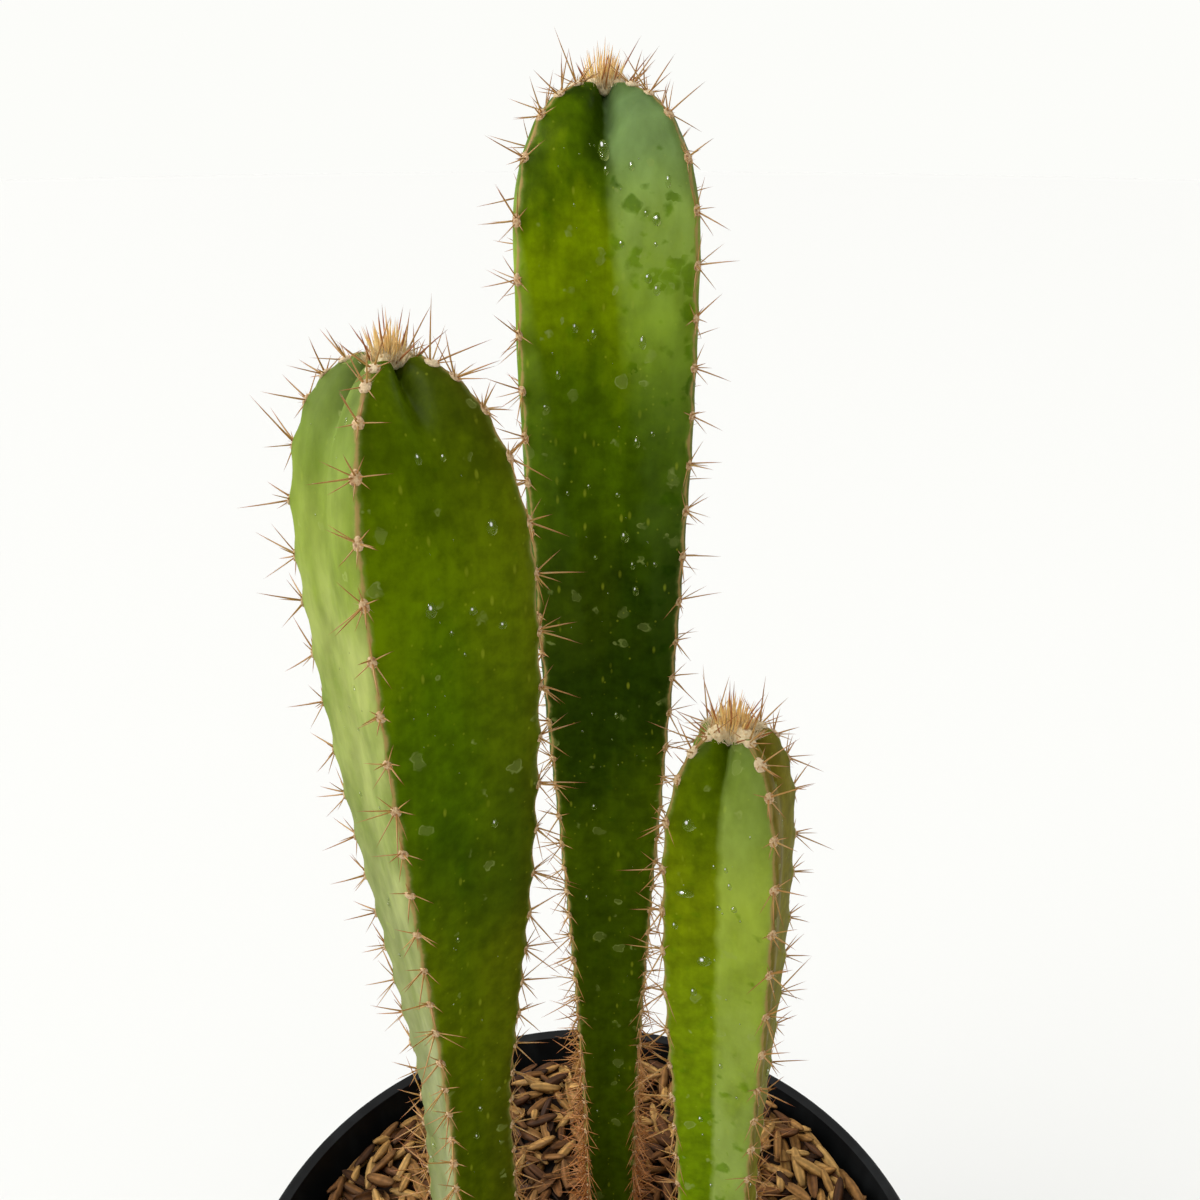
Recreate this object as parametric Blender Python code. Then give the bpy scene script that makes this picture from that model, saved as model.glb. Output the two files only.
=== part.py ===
"""A potted columnar cactus: three four-ribbed stems in a round nursery pot.

The pot stands on the ground plane with its axis on Z, and the origin is the centre of its
underside. The view of the photograph looks along +Y, so the left stem is at -X.
Each stem grows its areoles and spines, and a golden crown of young spines sits on its apex.
"""

import math
import random
from dataclasses import dataclass

import bmesh
import bpy
from mathutils import Matrix, Vector

MM = 0.001
GAP = 0.3 * MM  # clear space between solids that touch

# Pot, turned round Z
POT_HEIGHT = 125 * MM
RIM_RADIUS = 75 * MM
BASE_RADIUS = 54 * MM
WALL = 1.4 * MM
RIM_BAND = 11 * MM  # height of the wider band under the lip
RIM_STEP = 1.8 * MM  # how far that band stands out from the wall
LIP_DROP = 1.2 * MM  # height of the rolled lip
LIP_ROUND = 0.4 * MM
LIP_WIDTH = 1.1 * MM
FOOT_BEVEL = 2.5 * MM
POT_SIDES = 48
DRAIN_COUNT = 6
DRAIN_RADIUS = 5 * MM
DRAIN_RING = 36 * MM
HOLE_SIDES = 24

# Soil and its top dressing
HUSK_TOP = POT_HEIGHT - 8 * MM
HUSK_DEPTH = 6 * MM
SOIL_TOP = HUSK_TOP - HUSK_DEPTH - GAP
SOIL_SIDES = 36
ROOT_DEPTH = 34 * MM  # how far a stem's foot goes below the husks

# One rice husk, a little larger than life
HUSK_HALF_LENGTH = 5.8 * MM
HUSK_HALF_WIDTH = 2.1 * MM
HUSK_RIDGE = 1.3 * MM  # height of its keel over its widest outline
HUSK_ROOT = 2.4 * MM  # how far its underside goes into the bed
HUSK_COUNT = 158
HUSK_TILT = 11  # degrees
HUSK_STRAY = 1 * MM  # how far a husk lies off the even spread
HUSK_LIFT = (-0.2 * MM, 0.4 * MM)
HUSK_SCALE = (0.85, 1.1)
GOLDEN_ANGLE = math.radians(137.508)

# Ribs of a stem
RIBS = 4
SQUARENESS = 9.0  # superellipse exponent of the cross-section
SECTION_STEPS = (0.0, 9.0, 24.0, 45.0, 66.0, 81.0)  # degrees from one crest towards the next
GROOVE_SHAFT = 0.055  # depth of the valleys between ribs, as a share of the crest radius
GROOVE_APEX = 0.20  # how much deeper they are near the apex
GROOVE_START = 4 * MM  # depth below the apex where the extra groove is whole
GROOVE_HOLD = 15 * MM  # and where it begins to fade
GROOVE_FADE = 65 * MM
SHAFT_RING = 13 * MM
DOME_RINGS = 6
DOME_BLEND = 4 * MM  # height over which the ribs run out at the apex
DISH_DEPTH = 1.5 * MM  # how far an apex is sunk under its crown
DISH_RIM = 1.1 * MM  # width of the rim round that dish
COLLAR = 12 * MM  # height over which the round foot turns into ribs
FOOT_SHARE = 0.86  # radius of the round foot, as a share of the crest radius above it
STEM_CLEAR = 3.5 * MM  # height above the husks where the round foot ends

# Areoles and their spines
PAD_RADIUS = 1.05 * MM
PAD_TOP_RADIUS = 0.5 * MM
PAD_HEIGHT = 0.65 * MM
PAD_ROOT = 0.8 * MM
SPINE_LENGTH = 5.6 * MM
SPINE_SPREAD = math.radians(56)
PITCH_TOP = 9.4 * MM  # areole spacing along a crest, near the apex and near the soil
PITCH_BASE = 6.0 * MM
PITCH_REACH = 1.3  # the wide spacing holds from 1 / this of the height
HIGHEST_AREOLE = 2.2 * MM  # below the apex
LOWEST_AREOLE = 11 * MM  # above the husks
SPIN_STRAY = 15  # degrees
SPINE_SCALE = (0.75, 1.15)

# Crown of young spines on an apex
CROWN_RADIUS = 4.2 * MM
CROWN_HEIGHT = 3.4 * MM
CROWN_NEEDLE = 6.2 * MM
CROWN_NEEDLE_RADIUS = 0.34 * MM
CROWN_NEEDLES = 26
CROWN_SIDES = 8
CROWN_OUTLINE = ((0.86, 0.0), (0.9, 0.35), (0.68, 0.8))  # shares of its radius and height
CROWN_RISE = (86, 32)  # degrees over the horizontal, in the middle and at the edge
CROWN_RISE_STRAY = 6
CROWN_NEEDLE_SCALE = (0.85, 1.2)

# Colours, linear RGB
SKIN_GREEN = (0.065, 0.16, 0.018)
CROWN_GOLD = (0.62, 0.36, 0.10)
HUSK_TAN = (0.33, 0.20, 0.10)
SOIL_BROWN = (0.045, 0.028, 0.016)
POT_BLACK = (0.006, 0.0065, 0.007)


@dataclass(frozen=True)
class Stem:
    """Sizes and place of one stem. Heights are above the pot's rim."""

    name: str
    foot: tuple  # x and y of its axis at the soil
    lean: float  # how far the apex is moved along X
    lean_power: float  # 1 for an even lean, more for one that starts higher up
    apex: float
    widest: float  # crest radius below the dome
    narrowest: float  # crest radius near the soil
    taper_from: float
    taper_to: float
    taper_power: float
    dome: float  # height of the rounded top
    dome_power: float
    turn: float  # degrees of the first rib from the side that faces the camera
    crown_scale: float
    seed: int

    @property
    def top(self):
        """Height of the apex over the ground."""
        return POT_HEIGHT + self.apex

    @property
    def bottom(self):
        """Height of the foot over the ground."""
        return HUSK_TOP - ROOT_DEPTH


STEMS = (
    Stem("stem_tall", (5.2 * MM, 20 * MM), -2.2 * MM, 0.7, 238.3 * MM, 19.1 * MM, 6.8 * MM,
         0, 210 * MM, 1.08, 26 * MM, 2.5, 46.5, 1.0, 11),
    Stem("stem_left", (-20 * MM, -26 * MM), -5.2 * MM, 2.4, 205.4 * MM, 17.3 * MM, 7.6 * MM,
         78 * MM, 180 * MM, 0.72, 32 * MM, 2.35, -12.0, 0.95, 12),
    Stem("stem_short", (24 * MM, -24 * MM), -1.6 * MM, 2.0, 149.2 * MM, 11.8 * MM, 7.9 * MM,
         50 * MM, 121 * MM, 0.95, 24 * MM, 2.45, 27.0, 0.8, 13),
)


def clear_scene():
    """Remove every object that the file opened with."""
    for obj in list(bpy.data.objects):
        bpy.data.objects.remove(obj, do_unlink=True)


def clamp(value):
    """A value kept between 0 and 1."""
    return max(0.0, min(1.0, value))


def smooth(value):
    """Ease from 0 to 1 with level ends."""
    t = clamp(value)
    return t * t * (3 - 2 * t)


def mix(a, b, t):
    """The value a share t of the way from a to b."""
    return a + (b - a) * t


def material(name, colour, roughness, metallic=0.0):
    """A Principled material of one colour."""
    mat = bpy.data.materials.new(name)
    mat.use_nodes = True
    shader = mat.node_tree.nodes["Principled BSDF"]
    shader.inputs["Base Color"].default_value = (*colour, 1.0)
    shader.inputs["Roughness"].default_value = roughness
    shader.inputs["Metallic"].default_value = metallic
    mat.diffuse_color = (*colour, 1.0)
    return mat


def mesh_object(name, points, faces, mat=None, collection=None):
    """An object from points and faces, with its faces turned outward."""
    mesh = bpy.data.meshes.new(name)
    mesh.from_pydata([tuple(p) for p in points], [], faces)
    bm = bmesh.new()
    bm.from_mesh(mesh)
    bmesh.ops.recalc_face_normals(bm, faces=bm.faces)
    bm.to_mesh(mesh)
    bm.free()
    obj = bpy.data.objects.new(name, mesh)
    if mat:
        mesh.materials.append(mat)
    (collection or bpy.context.scene.collection).objects.link(obj)
    return obj


def stack_rings(rings, low_pole, high_pole):
    """Points and faces of a closed body: rings of equal count between two pole points."""
    sides = len(rings[0])
    points = [low_pole]
    for ring in rings:
        points += ring
    points.append(high_pole)
    last = len(points) - 1
    faces = [(0, 1 + (i + 1) % sides, 1 + i) for i in range(sides)]
    for level in range(len(rings) - 1):
        a = 1 + level * sides
        b = a + sides
        for i in range(sides):
            j = (i + 1) % sides
            faces.append((a + i, a + j, b + j, b + i))
    top = 1 + (len(rings) - 1) * sides
    faces += [(top + i, top + (i + 1) % sides, last) for i in range(sides)]
    return points, faces


def turned(name, profile, sides, mat):
    """A closed body turned round Z from (radius, height) pairs between two points on the axis."""
    rings = []
    for radius, height in profile[1:-1]:
        ring = []
        for i in range(sides):
            a = math.tau * i / sides
            ring.append(Vector((radius * math.cos(a), radius * math.sin(a), height)))
        rings.append(ring)
    low = Vector((0, 0, profile[0][1]))
    high = Vector((0, 0, profile[-1][1]))
    return mesh_object(name, *stack_rings(rings, low, high), mat)


def boolean(obj, operation, cutter=None, collection=None, solver="EXACT"):
    """Add one Boolean modifier to an object."""
    mod = obj.modifiers.new(operation.lower(), "BOOLEAN")
    mod.operation = operation
    mod.solver = solver
    if collection:
        mod.operand_type = "COLLECTION"
        mod.collection = collection
    else:
        mod.object = cutter
    return mod


def apply_modifiers(obj):
    """Replace an object's mesh by its evaluated one."""
    evaluated = obj.evaluated_get(bpy.context.evaluated_depsgraph_get())
    mesh = bpy.data.meshes.new_from_object(evaluated)
    obj.modifiers.clear()
    obj.data = mesh


def fuse(obj, collection):
    """Join a collection's shapes to an object, and remove them."""
    boolean(obj, "UNION", collection=collection, solver="MANIFOLD")
    apply_modifiers(obj)
    for piece in list(collection.objects):
        bpy.data.objects.remove(piece, do_unlink=True)
    bpy.data.collections.remove(collection)


def cut_and_remove(obj, cutters):
    """Cut each shape out of an object, apply the cuts and remove the cutters."""
    for cutter in cutters:
        boolean(obj, "DIFFERENCE", cutter=cutter)
    apply_modifiers(obj)
    for cutter in cutters:
        bpy.data.objects.remove(cutter, do_unlink=True)


def repeats_collection(name):
    """A collection that holds a node's repeats until they are fused."""
    collection = bpy.data.collections.new(name)
    bpy.context.scene.collection.children.link(collection)
    return collection


def cylinder_cutter(name, x, y, radius, low, high, sides):
    """A plain upright cylinder that is only used to cut."""
    rings = []
    for height in (low, high):
        ring = []
        for i in range(sides):
            a = math.tau * (i + 0.5) / sides
            ring.append(Vector((x + radius * math.cos(a), y + radius * math.sin(a), height)))
        rings.append(ring)
    obj = mesh_object(name, *stack_rings(rings, Vector((x, y, low)), Vector((x, y, high))))
    obj.hide_render = True
    obj.display_type = "WIRE"
    return obj


def drop_scraps(obj):
    """Keep only the largest connected body of a mesh."""
    bm = bmesh.new()
    bm.from_mesh(obj.data)
    left = set(bm.verts)
    bodies = []
    while left:
        body = {left.pop()}
        front = list(body)
        while front:
            for edge in front.pop().link_edges:
                for vert in edge.verts:
                    if vert in left:
                        left.discard(vert)
                        body.add(vert)
                        front.append(vert)
        bodies.append(body)
    bodies.sort(key=len)
    for body in bodies[:-1]:
        bmesh.ops.delete(bm, geom=list(body), context="VERTS")
    bm.to_mesh(obj.data)
    bm.free()


def wall_radius(height):
    """Outer radius of the pot's tapered wall under the rim band."""
    return mix(BASE_RADIUS, RIM_RADIUS - RIM_STEP, height / POT_HEIGHT)


def build_pot():
    """Tapered thin-walled pot with a stepped rim, a small rolled lip and drain holes."""
    band = POT_HEIGHT - RIM_BAND
    lip = POT_HEIGHT - LIP_DROP
    profile = [
        (0, 0),
        (BASE_RADIUS - FOOT_BEVEL, 0),
        (BASE_RADIUS, FOOT_BEVEL),
        (wall_radius(band), band),
        (RIM_RADIUS - 2 * LIP_ROUND, band + LIP_ROUND),
        (RIM_RADIUS - LIP_ROUND, lip),
        (RIM_RADIUS, lip + LIP_ROUND),
        (RIM_RADIUS - LIP_ROUND, POT_HEIGHT),
        (RIM_RADIUS - LIP_WIDTH, POT_HEIGHT),
        (RIM_RADIUS - RIM_STEP - WALL + LIP_ROUND, lip),
        (wall_radius(band) - WALL, band),
        (BASE_RADIUS - WALL, FOOT_BEVEL + WALL),
        (BASE_RADIUS - FOOT_BEVEL - 0.5 * WALL, WALL),
        (0, WALL),
    ]
    pot = turned("pot", profile, POT_SIDES, material("black_polypropylene", POT_BLACK, 0.42))
    holes = []
    for i in range(DRAIN_COUNT):
        a = math.tau * i / DRAIN_COUNT
        place = (DRAIN_RING * math.cos(a), DRAIN_RING * math.sin(a))
        holes.append(cylinder_cutter(f"drain_{i}", *place, DRAIN_RADIUS, -2 * MM, 2 * WALL, 16))
    cut_and_remove(pot, holes)
    pot.data.shade_smooth()
    pot.data.set_sharp_from_angle(angle=math.radians(35))


def inner_radius(height):
    """Radius of the pot's inside at a height, or of its slope carried on above the rim band."""
    low = FOOT_BEVEL + WALL
    high = POT_HEIGHT - RIM_BAND
    t = (height - low) / (high - low)
    return mix(BASE_RADIUS - WALL, wall_radius(high) - WALL, t)


def stem_holes(extra, low):
    """Cutters for the plain round holes that the stems stand in."""
    holes = []
    for stem in STEMS:
        radius = (foot_radius(stem) + extra) / math.cos(math.pi / HOLE_SIDES)
        name = stem.name + "_hole"
        holes.append(cylinder_cutter(name, *stem.foot, radius, low, 2 * POT_HEIGHT, HOLE_SIDES))
    return holes


def build_soil():
    """Potting mix that fills the pot below the top dressing."""
    side = math.cos(math.pi / POT_SIDES)  # a flat side of the pot is nearer than its corners
    low = WALL + GAP
    profile = [
        (0, low),
        ((BASE_RADIUS - FOOT_BEVEL - WALL) * side - GAP, low),
        (inner_radius(2 * FOOT_BEVEL) * side - 2 * GAP, 2 * FOOT_BEVEL),
        (inner_radius(SOIL_TOP) * side - 2 * GAP, SOIL_TOP),
        (0, SOIL_TOP),
    ]
    soil = turned("potting_mix", profile, SOIL_SIDES, material("potting_mix", SOIL_BROWN, 0.95))
    cut_and_remove(soil, stem_holes(GAP, HUSK_TOP - ROOT_DEPTH - GAP))


def husk(name, place, yaw, pitch, roll, scale, collection):
    """One boat-shaped husk: two pointed ends and four corners round its middle."""
    corners = [
        (HUSK_HALF_LENGTH, 0, 0),
        (-HUSK_HALF_LENGTH, 0, 0),
        (0, HUSK_HALF_WIDTH, 0),
        (0, -HUSK_HALF_WIDTH, 0),
        (0, 0, HUSK_RIDGE),
        (0, 0, -HUSK_ROOT),
    ]
    turn = Matrix.Rotation(yaw, 3, "Z") @ Matrix.Rotation(pitch, 3, "Y") @ Matrix.Rotation(roll, 3, "X")
    points = [place + turn @ Vector(corner) * scale for corner in corners]
    faces = [(a, b, c) for a in (0, 1) for b, c in ((2, 4), (4, 3), (3, 5), (5, 2))]
    return mesh_object(name, points, faces, collection=collection)


def build_husks():
    """Top dressing: a bed of husks with single husks standing proud all over it."""
    edge = inner_radius(SOIL_TOP) * math.cos(math.pi / POT_SIDES) - 2 * GAP
    low = SOIL_TOP + GAP
    profile = [(0, low), (edge, low), (edge, HUSK_TOP), (0, HUSK_TOP)]
    bed = turned("husk_layer", profile, SOIL_SIDES, material("rice_husk", HUSK_TAN, 0.8))

    rng = random.Random(7)
    collection = repeats_collection("husks")
    reach = edge - HUSK_HALF_LENGTH * 1.15
    for i in range(HUSK_COUNT):
        radius = reach * math.sqrt((i + 0.5) / HUSK_COUNT)
        a = i * GOLDEN_ANGLE
        x = radius * math.cos(a) + rng.uniform(-1, 1) * HUSK_STRAY
        y = radius * math.sin(a) + rng.uniform(-1, 1) * HUSK_STRAY
        place = Vector((x, y, HUSK_TOP + rng.uniform(*HUSK_LIFT)))
        yaw = rng.uniform(0, math.pi)
        pitch = math.radians(rng.uniform(-HUSK_TILT, HUSK_TILT))
        roll = math.radians(rng.uniform(-HUSK_TILT, HUSK_TILT))
        scale = rng.uniform(*HUSK_SCALE)
        if clear_of_stems(x, y):
            husk(f"husk_{i}", place, yaw, pitch, roll, scale, collection)
    fuse(bed, collection)
    cut_and_remove(bed, stem_holes(2 * GAP, 0))
    drop_scraps(bed)


def clear_of_stems(x, y):
    """Whether a husk's middle lies outside every stem's foot."""
    for stem in STEMS:
        if math.hypot(x - stem.foot[0], y - stem.foot[1]) < foot_radius(stem) + HUSK_HALF_WIDTH:
            return False
    return True


def foot_radius(stem):
    """Radius of the rounded foot of a stem, which stands in the soil."""
    return stem.narrowest * FOOT_SHARE


def crest_radius(stem, height):
    """Distance from a stem's axis to its rib crests at a height in the part's frame."""
    above_rim = height - POT_HEIGHT
    t = clamp((above_rim - stem.taper_from) / (stem.taper_to - stem.taper_from))
    radius = mix(stem.narrowest, stem.widest, smooth(t ** stem.taper_power))
    up = clamp((height - (stem.top - stem.dome)) / stem.dome)
    return radius * (1 - up ** stem.dome_power) ** (1 / stem.dome_power)


def groove_depth(stem, height):
    """Depth of the valleys between the ribs, as a share of the crest radius."""
    below = stem.top - height
    fade = 1 - smooth((below - GROOVE_HOLD) / GROOVE_FADE)
    return GROOVE_SHAFT + GROOVE_APEX * smooth(below / GROOVE_START) * fade


def section_share(degrees, groove):
    """Radius of the cross-section at an angle from a crest, as a share of the crest radius."""
    a = math.radians(45 - degrees % 90)
    corner = (2 * math.sqrt(0.5) ** SQUARENESS) ** (-1 / SQUARENESS)
    here = (abs(math.cos(a)) ** SQUARENESS + abs(math.sin(a)) ** SQUARENESS) ** (-1 / SQUARENESS)
    return here / corner - groove * math.sin(math.radians(2 * degrees)) ** 2


def axis_point(stem, height):
    """Middle of a stem at a height, with its lean."""
    t = clamp((height - HUSK_TOP) / (stem.top - HUSK_TOP))
    return Vector((stem.foot[0] + stem.lean * t ** stem.lean_power, stem.foot[1], height))


def skin_share(stem, height, degrees):
    """Share of the crest radius at an angle: ribbed, but round in the soil and at the dish."""
    ribbed = smooth((height - HUSK_TOP - STEM_CLEAR) / COLLAR)
    share = mix(FOOT_SHARE, section_share(degrees, groove_depth(stem, height)), ribbed)
    return mix(1.0, share, smooth((stem.top - height) / DOME_BLEND))


def ring_at(stem, height, radius):
    """One ring of a stem's skin."""
    middle = axis_point(stem, height)
    ring = []
    for rib in range(RIBS):
        for step in SECTION_STEPS:
            a = math.radians(stem.turn + rib * 90 + step - 90)
            side = Vector((math.cos(a), math.sin(a), 0))
            ring.append(middle + side * radius * skin_share(stem, height, step))
    return ring


def ring_heights(stem):
    """Heights of a stem's rings from the foot to the start of its dome."""
    start = HUSK_TOP + STEM_CLEAR
    end = stem.top - stem.dome
    count = round((end - start - COLLAR) / SHAFT_RING)
    heights = [stem.bottom, start, start + COLLAR / 2]
    heights += [mix(start + COLLAR, end, i / count) for i in range(count + 1)]
    return heights


def dome_levels(stem):
    """Heights and crest radii of the rings that round off a stem's top, down into its dish."""
    crown = CROWN_RADIUS * stem.crown_scale
    rim = crown + DISH_RIM
    share = (1 - (rim / stem.widest) ** stem.dome_power) ** (1 / stem.dome_power)
    last = math.asin(share ** (stem.dome_power / 2))
    levels = []
    for i in range(1, DOME_RINGS + 1):
        height = stem.top - stem.dome * (1 - math.sin(last * i / DOME_RINGS) ** (2 / stem.dome_power))
        levels.append((height, crest_radius(stem, height)))
    levels.append((stem.top, crown + 2 * GAP))
    levels.append((dish_floor(stem), crown))
    return levels


def dish_floor(stem):
    """Height of the floor that a crown sits on."""
    return stem.top - DISH_DEPTH


def spray(name, place, outward, along, spin, length, collection):
    """An areole: a slim three-sided pad whose top is drawn out into three spines."""
    across = outward.cross(along).normalized()
    corners = [spin + math.tau * k / 3 for k in range(3)]
    flat = [along * math.cos(a) + across * math.sin(a) for a in corners]
    points = [place - outward * PAD_ROOT + d * PAD_RADIUS for d in flat]
    points += [place + outward * PAD_HEIGHT + d * PAD_TOP_RADIUS for d in flat]
    points.append(place + outward * PAD_HEIGHT * 1.2)
    for k in range(3):
        lean = (flat[k] + flat[(k + 1) % 3]).normalized()
        tip = outward * math.cos(SPINE_SPREAD) + lean * math.sin(SPINE_SPREAD)
        points.append(place + outward * PAD_HEIGHT + tip * length[k])
    faces = [(2, 1, 0)]
    for k in range(3):
        j = (k + 1) % 3
        faces += [(k, j, 3 + j, 3 + k), (3 + k, 3 + j, 7 + k), (3 + j, 6, 7 + k), (6, 3 + k, 7 + k)]
    return mesh_object(name, points, faces, collection=collection)


def areole_heights(stem):
    """Heights of the areoles on one crest, wide apart at the top and close at the foot."""
    heights = []
    height = stem.top - HIGHEST_AREOLE
    while height > HUSK_TOP + LOWEST_AREOLE:
        heights.append(height)
        t = clamp((height - POT_HEIGHT) / stem.apex)
        slope = crest_slope(stem, height)
        height -= mix(PITCH_BASE, PITCH_TOP, smooth(t * PITCH_REACH)) / math.hypot(1, slope)
    return heights


def crest_slope(stem, height):
    """Change of crest radius with height."""
    step = 0.5 * MM
    return (crest_radius(stem, height + step) - crest_radius(stem, height - step)) / (2 * step)


def build_stem(stem, mat):
    """A ribbed stem with its areoles and spines."""
    levels = [(h, crest_radius(stem, h)) for h in ring_heights(stem)] + dome_levels(stem)
    rings = [ring_at(stem, height, radius) for height, radius in levels]
    poles = axis_point(stem, stem.bottom), axis_point(stem, dish_floor(stem))
    body = mesh_object(stem.name, *stack_rings(rings, *poles), mat)

    rng = random.Random(stem.seed)
    collection = repeats_collection(stem.name + "_spines")
    for rib in range(RIBS):
        a = math.radians(stem.turn + rib * 90 - 90)
        side = Vector((math.cos(a), math.sin(a), 0))
        for i, height in enumerate(areole_heights(stem)):
            slope = crest_slope(stem, height)
            outward = (side - Vector((0, 0, slope))).normalized()
            along = (Vector((0, 0, 1)) + side * slope).normalized()
            radius = crest_radius(stem, height) * skin_share(stem, height, 0)
            place = axis_point(stem, height) + side * radius
            spin = math.radians(60 * (i % 2) + rng.uniform(-SPIN_STRAY, SPIN_STRAY))
            length = [SPINE_LENGTH * rng.uniform(*SPINE_SCALE) for _ in range(3)]
            spray(f"areole_{rib}_{i}", place, outward, along, spin, length, collection)
    fuse(body, collection)
    body.data.shade_smooth()
    body.data.set_sharp_from_angle(angle=math.radians(40))


def needle(name, root, tip, radius, collection):
    """A three-sided needle from a root point to its tip."""
    way = (tip - root).normalized()
    side = way.orthogonal().normalized()
    other = way.cross(side)
    points = []
    for k in range(3):
        a = math.tau * k / 3
        points.append(root + (side * math.cos(a) + other * math.sin(a)) * radius)
    points.append(tip)
    return mesh_object(name, points, [(2, 1, 0), (0, 1, 3), (1, 2, 3), (2, 0, 3)], collection=collection)


def build_crown(stem, mat):
    """Golden tuft on an apex: a low woolly cushion with young spines standing out of it."""
    radius = CROWN_RADIUS * stem.crown_scale
    base = axis_point(stem, dish_floor(stem) + GAP)
    rings = []
    for share, height in CROWN_OUTLINE:
        ring = []
        for i in range(CROWN_SIDES):
            a = math.tau * i / CROWN_SIDES
            side = Vector((math.cos(a), math.sin(a), 0)) * radius * share
            ring.append(base + side + Vector((0, 0, height * CROWN_HEIGHT)))
        rings.append(ring)
    high = base + Vector((0, 0, CROWN_HEIGHT))
    name = stem.name.replace("stem", "crown")
    crown = mesh_object(name, *stack_rings(rings, base, high), mat)

    rng = random.Random(stem.seed + 20)
    collection = repeats_collection(name + "_needles")
    count = round(CROWN_NEEDLES * stem.crown_scale)
    for i in range(count):
        spread = math.sqrt((i + 0.5) / count)
        a = i * GOLDEN_ANGLE
        flat = Vector((math.cos(a), math.sin(a), 0))
        stray = rng.uniform(-CROWN_RISE_STRAY, CROWN_RISE_STRAY)
        rise = math.radians(mix(*CROWN_RISE, spread) + stray)
        way = flat * math.cos(rise) + Vector((0, 0, math.sin(rise)))
        root = base + flat * radius * 0.5 * spread + Vector((0, 0, 0.55 * CROWN_HEIGHT))
        tip = root + way * CROWN_NEEDLE * rng.uniform(*CROWN_NEEDLE_SCALE)
        needle(f"young_spine_{i}", root, tip, CROWN_NEEDLE_RADIUS, collection)
    fuse(crown, collection)


def main():
    """Build the pot, its filling and the stems with their crowns."""
    clear_scene()
    build_pot()
    build_soil()
    build_husks()
    skin = material("cactus_skin", SKIN_GREEN, 0.45)
    gold = material("young_spines", CROWN_GOLD, 0.7)
    for stem in STEMS:
        build_stem(stem, skin)
        build_crown(stem, gold)


main()
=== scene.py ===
"""Looks of the potted columnar cactus: skin, spines, wool, dew, husks, pot and studio.

Every shape follows the same sizes as the solids that it replaces, in metres, with +Z up and the
origin under the pot's middle. Geometry Nodes trees built here sweep the ribbed skins along their
centre lines, and grow the areoles, spines, crowns, dew drops and rice husks on guide points.
"""

from __future__ import annotations

import logging
import math
import random
from dataclasses import asdict, dataclass
from enum import Enum
from typing import Any, Union

import bmesh
import bpy
from bpy.types import ID, Material, Mesh, Node, NodeSocket, NodeTree, Object
from mathutils import Matrix, Vector, noise


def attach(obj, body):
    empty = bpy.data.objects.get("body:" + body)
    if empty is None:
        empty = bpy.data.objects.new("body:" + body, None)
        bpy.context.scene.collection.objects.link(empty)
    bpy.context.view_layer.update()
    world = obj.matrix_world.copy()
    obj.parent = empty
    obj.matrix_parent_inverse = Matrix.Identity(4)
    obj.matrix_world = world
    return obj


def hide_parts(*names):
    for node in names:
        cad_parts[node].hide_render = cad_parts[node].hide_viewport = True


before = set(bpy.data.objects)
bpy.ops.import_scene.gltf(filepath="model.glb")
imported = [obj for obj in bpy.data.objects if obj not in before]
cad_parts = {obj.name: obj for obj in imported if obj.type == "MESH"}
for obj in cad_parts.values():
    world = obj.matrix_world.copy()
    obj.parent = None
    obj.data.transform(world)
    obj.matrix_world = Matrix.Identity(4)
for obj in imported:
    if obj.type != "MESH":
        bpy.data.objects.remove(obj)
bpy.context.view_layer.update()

LOG = logging.getLogger("potted_cactus")

MM = 0.001
QUARTER = math.pi / 2
GOLDEN_ANGLE = math.radians(137.508)
UP = Vector((0, 0, 1))

# Levels that the pot, its filling and the stems share
POT_HEIGHT = 125 * MM
HUSK_TOP = POT_HEIGHT - 8 * MM
HUSK_DEPTH = 6 * MM
ROOT_DEPTH = 34 * MM
BED_RADIUS = 69.2 * MM

Wire = Union[NodeSocket, Node]  # a node stands for its first output in use
NodeInput = Union[Wire, float, int, str, bool, tuple, list]
Look = dict[str, NodeInput]  # inputs of a Principled shader
Stops = tuple[tuple[float, Union[float, str]], ...]  # places, each with a grey value or a hex colour
Row = dict[str, Any]  # a guide point: its place and its other named values


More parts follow.
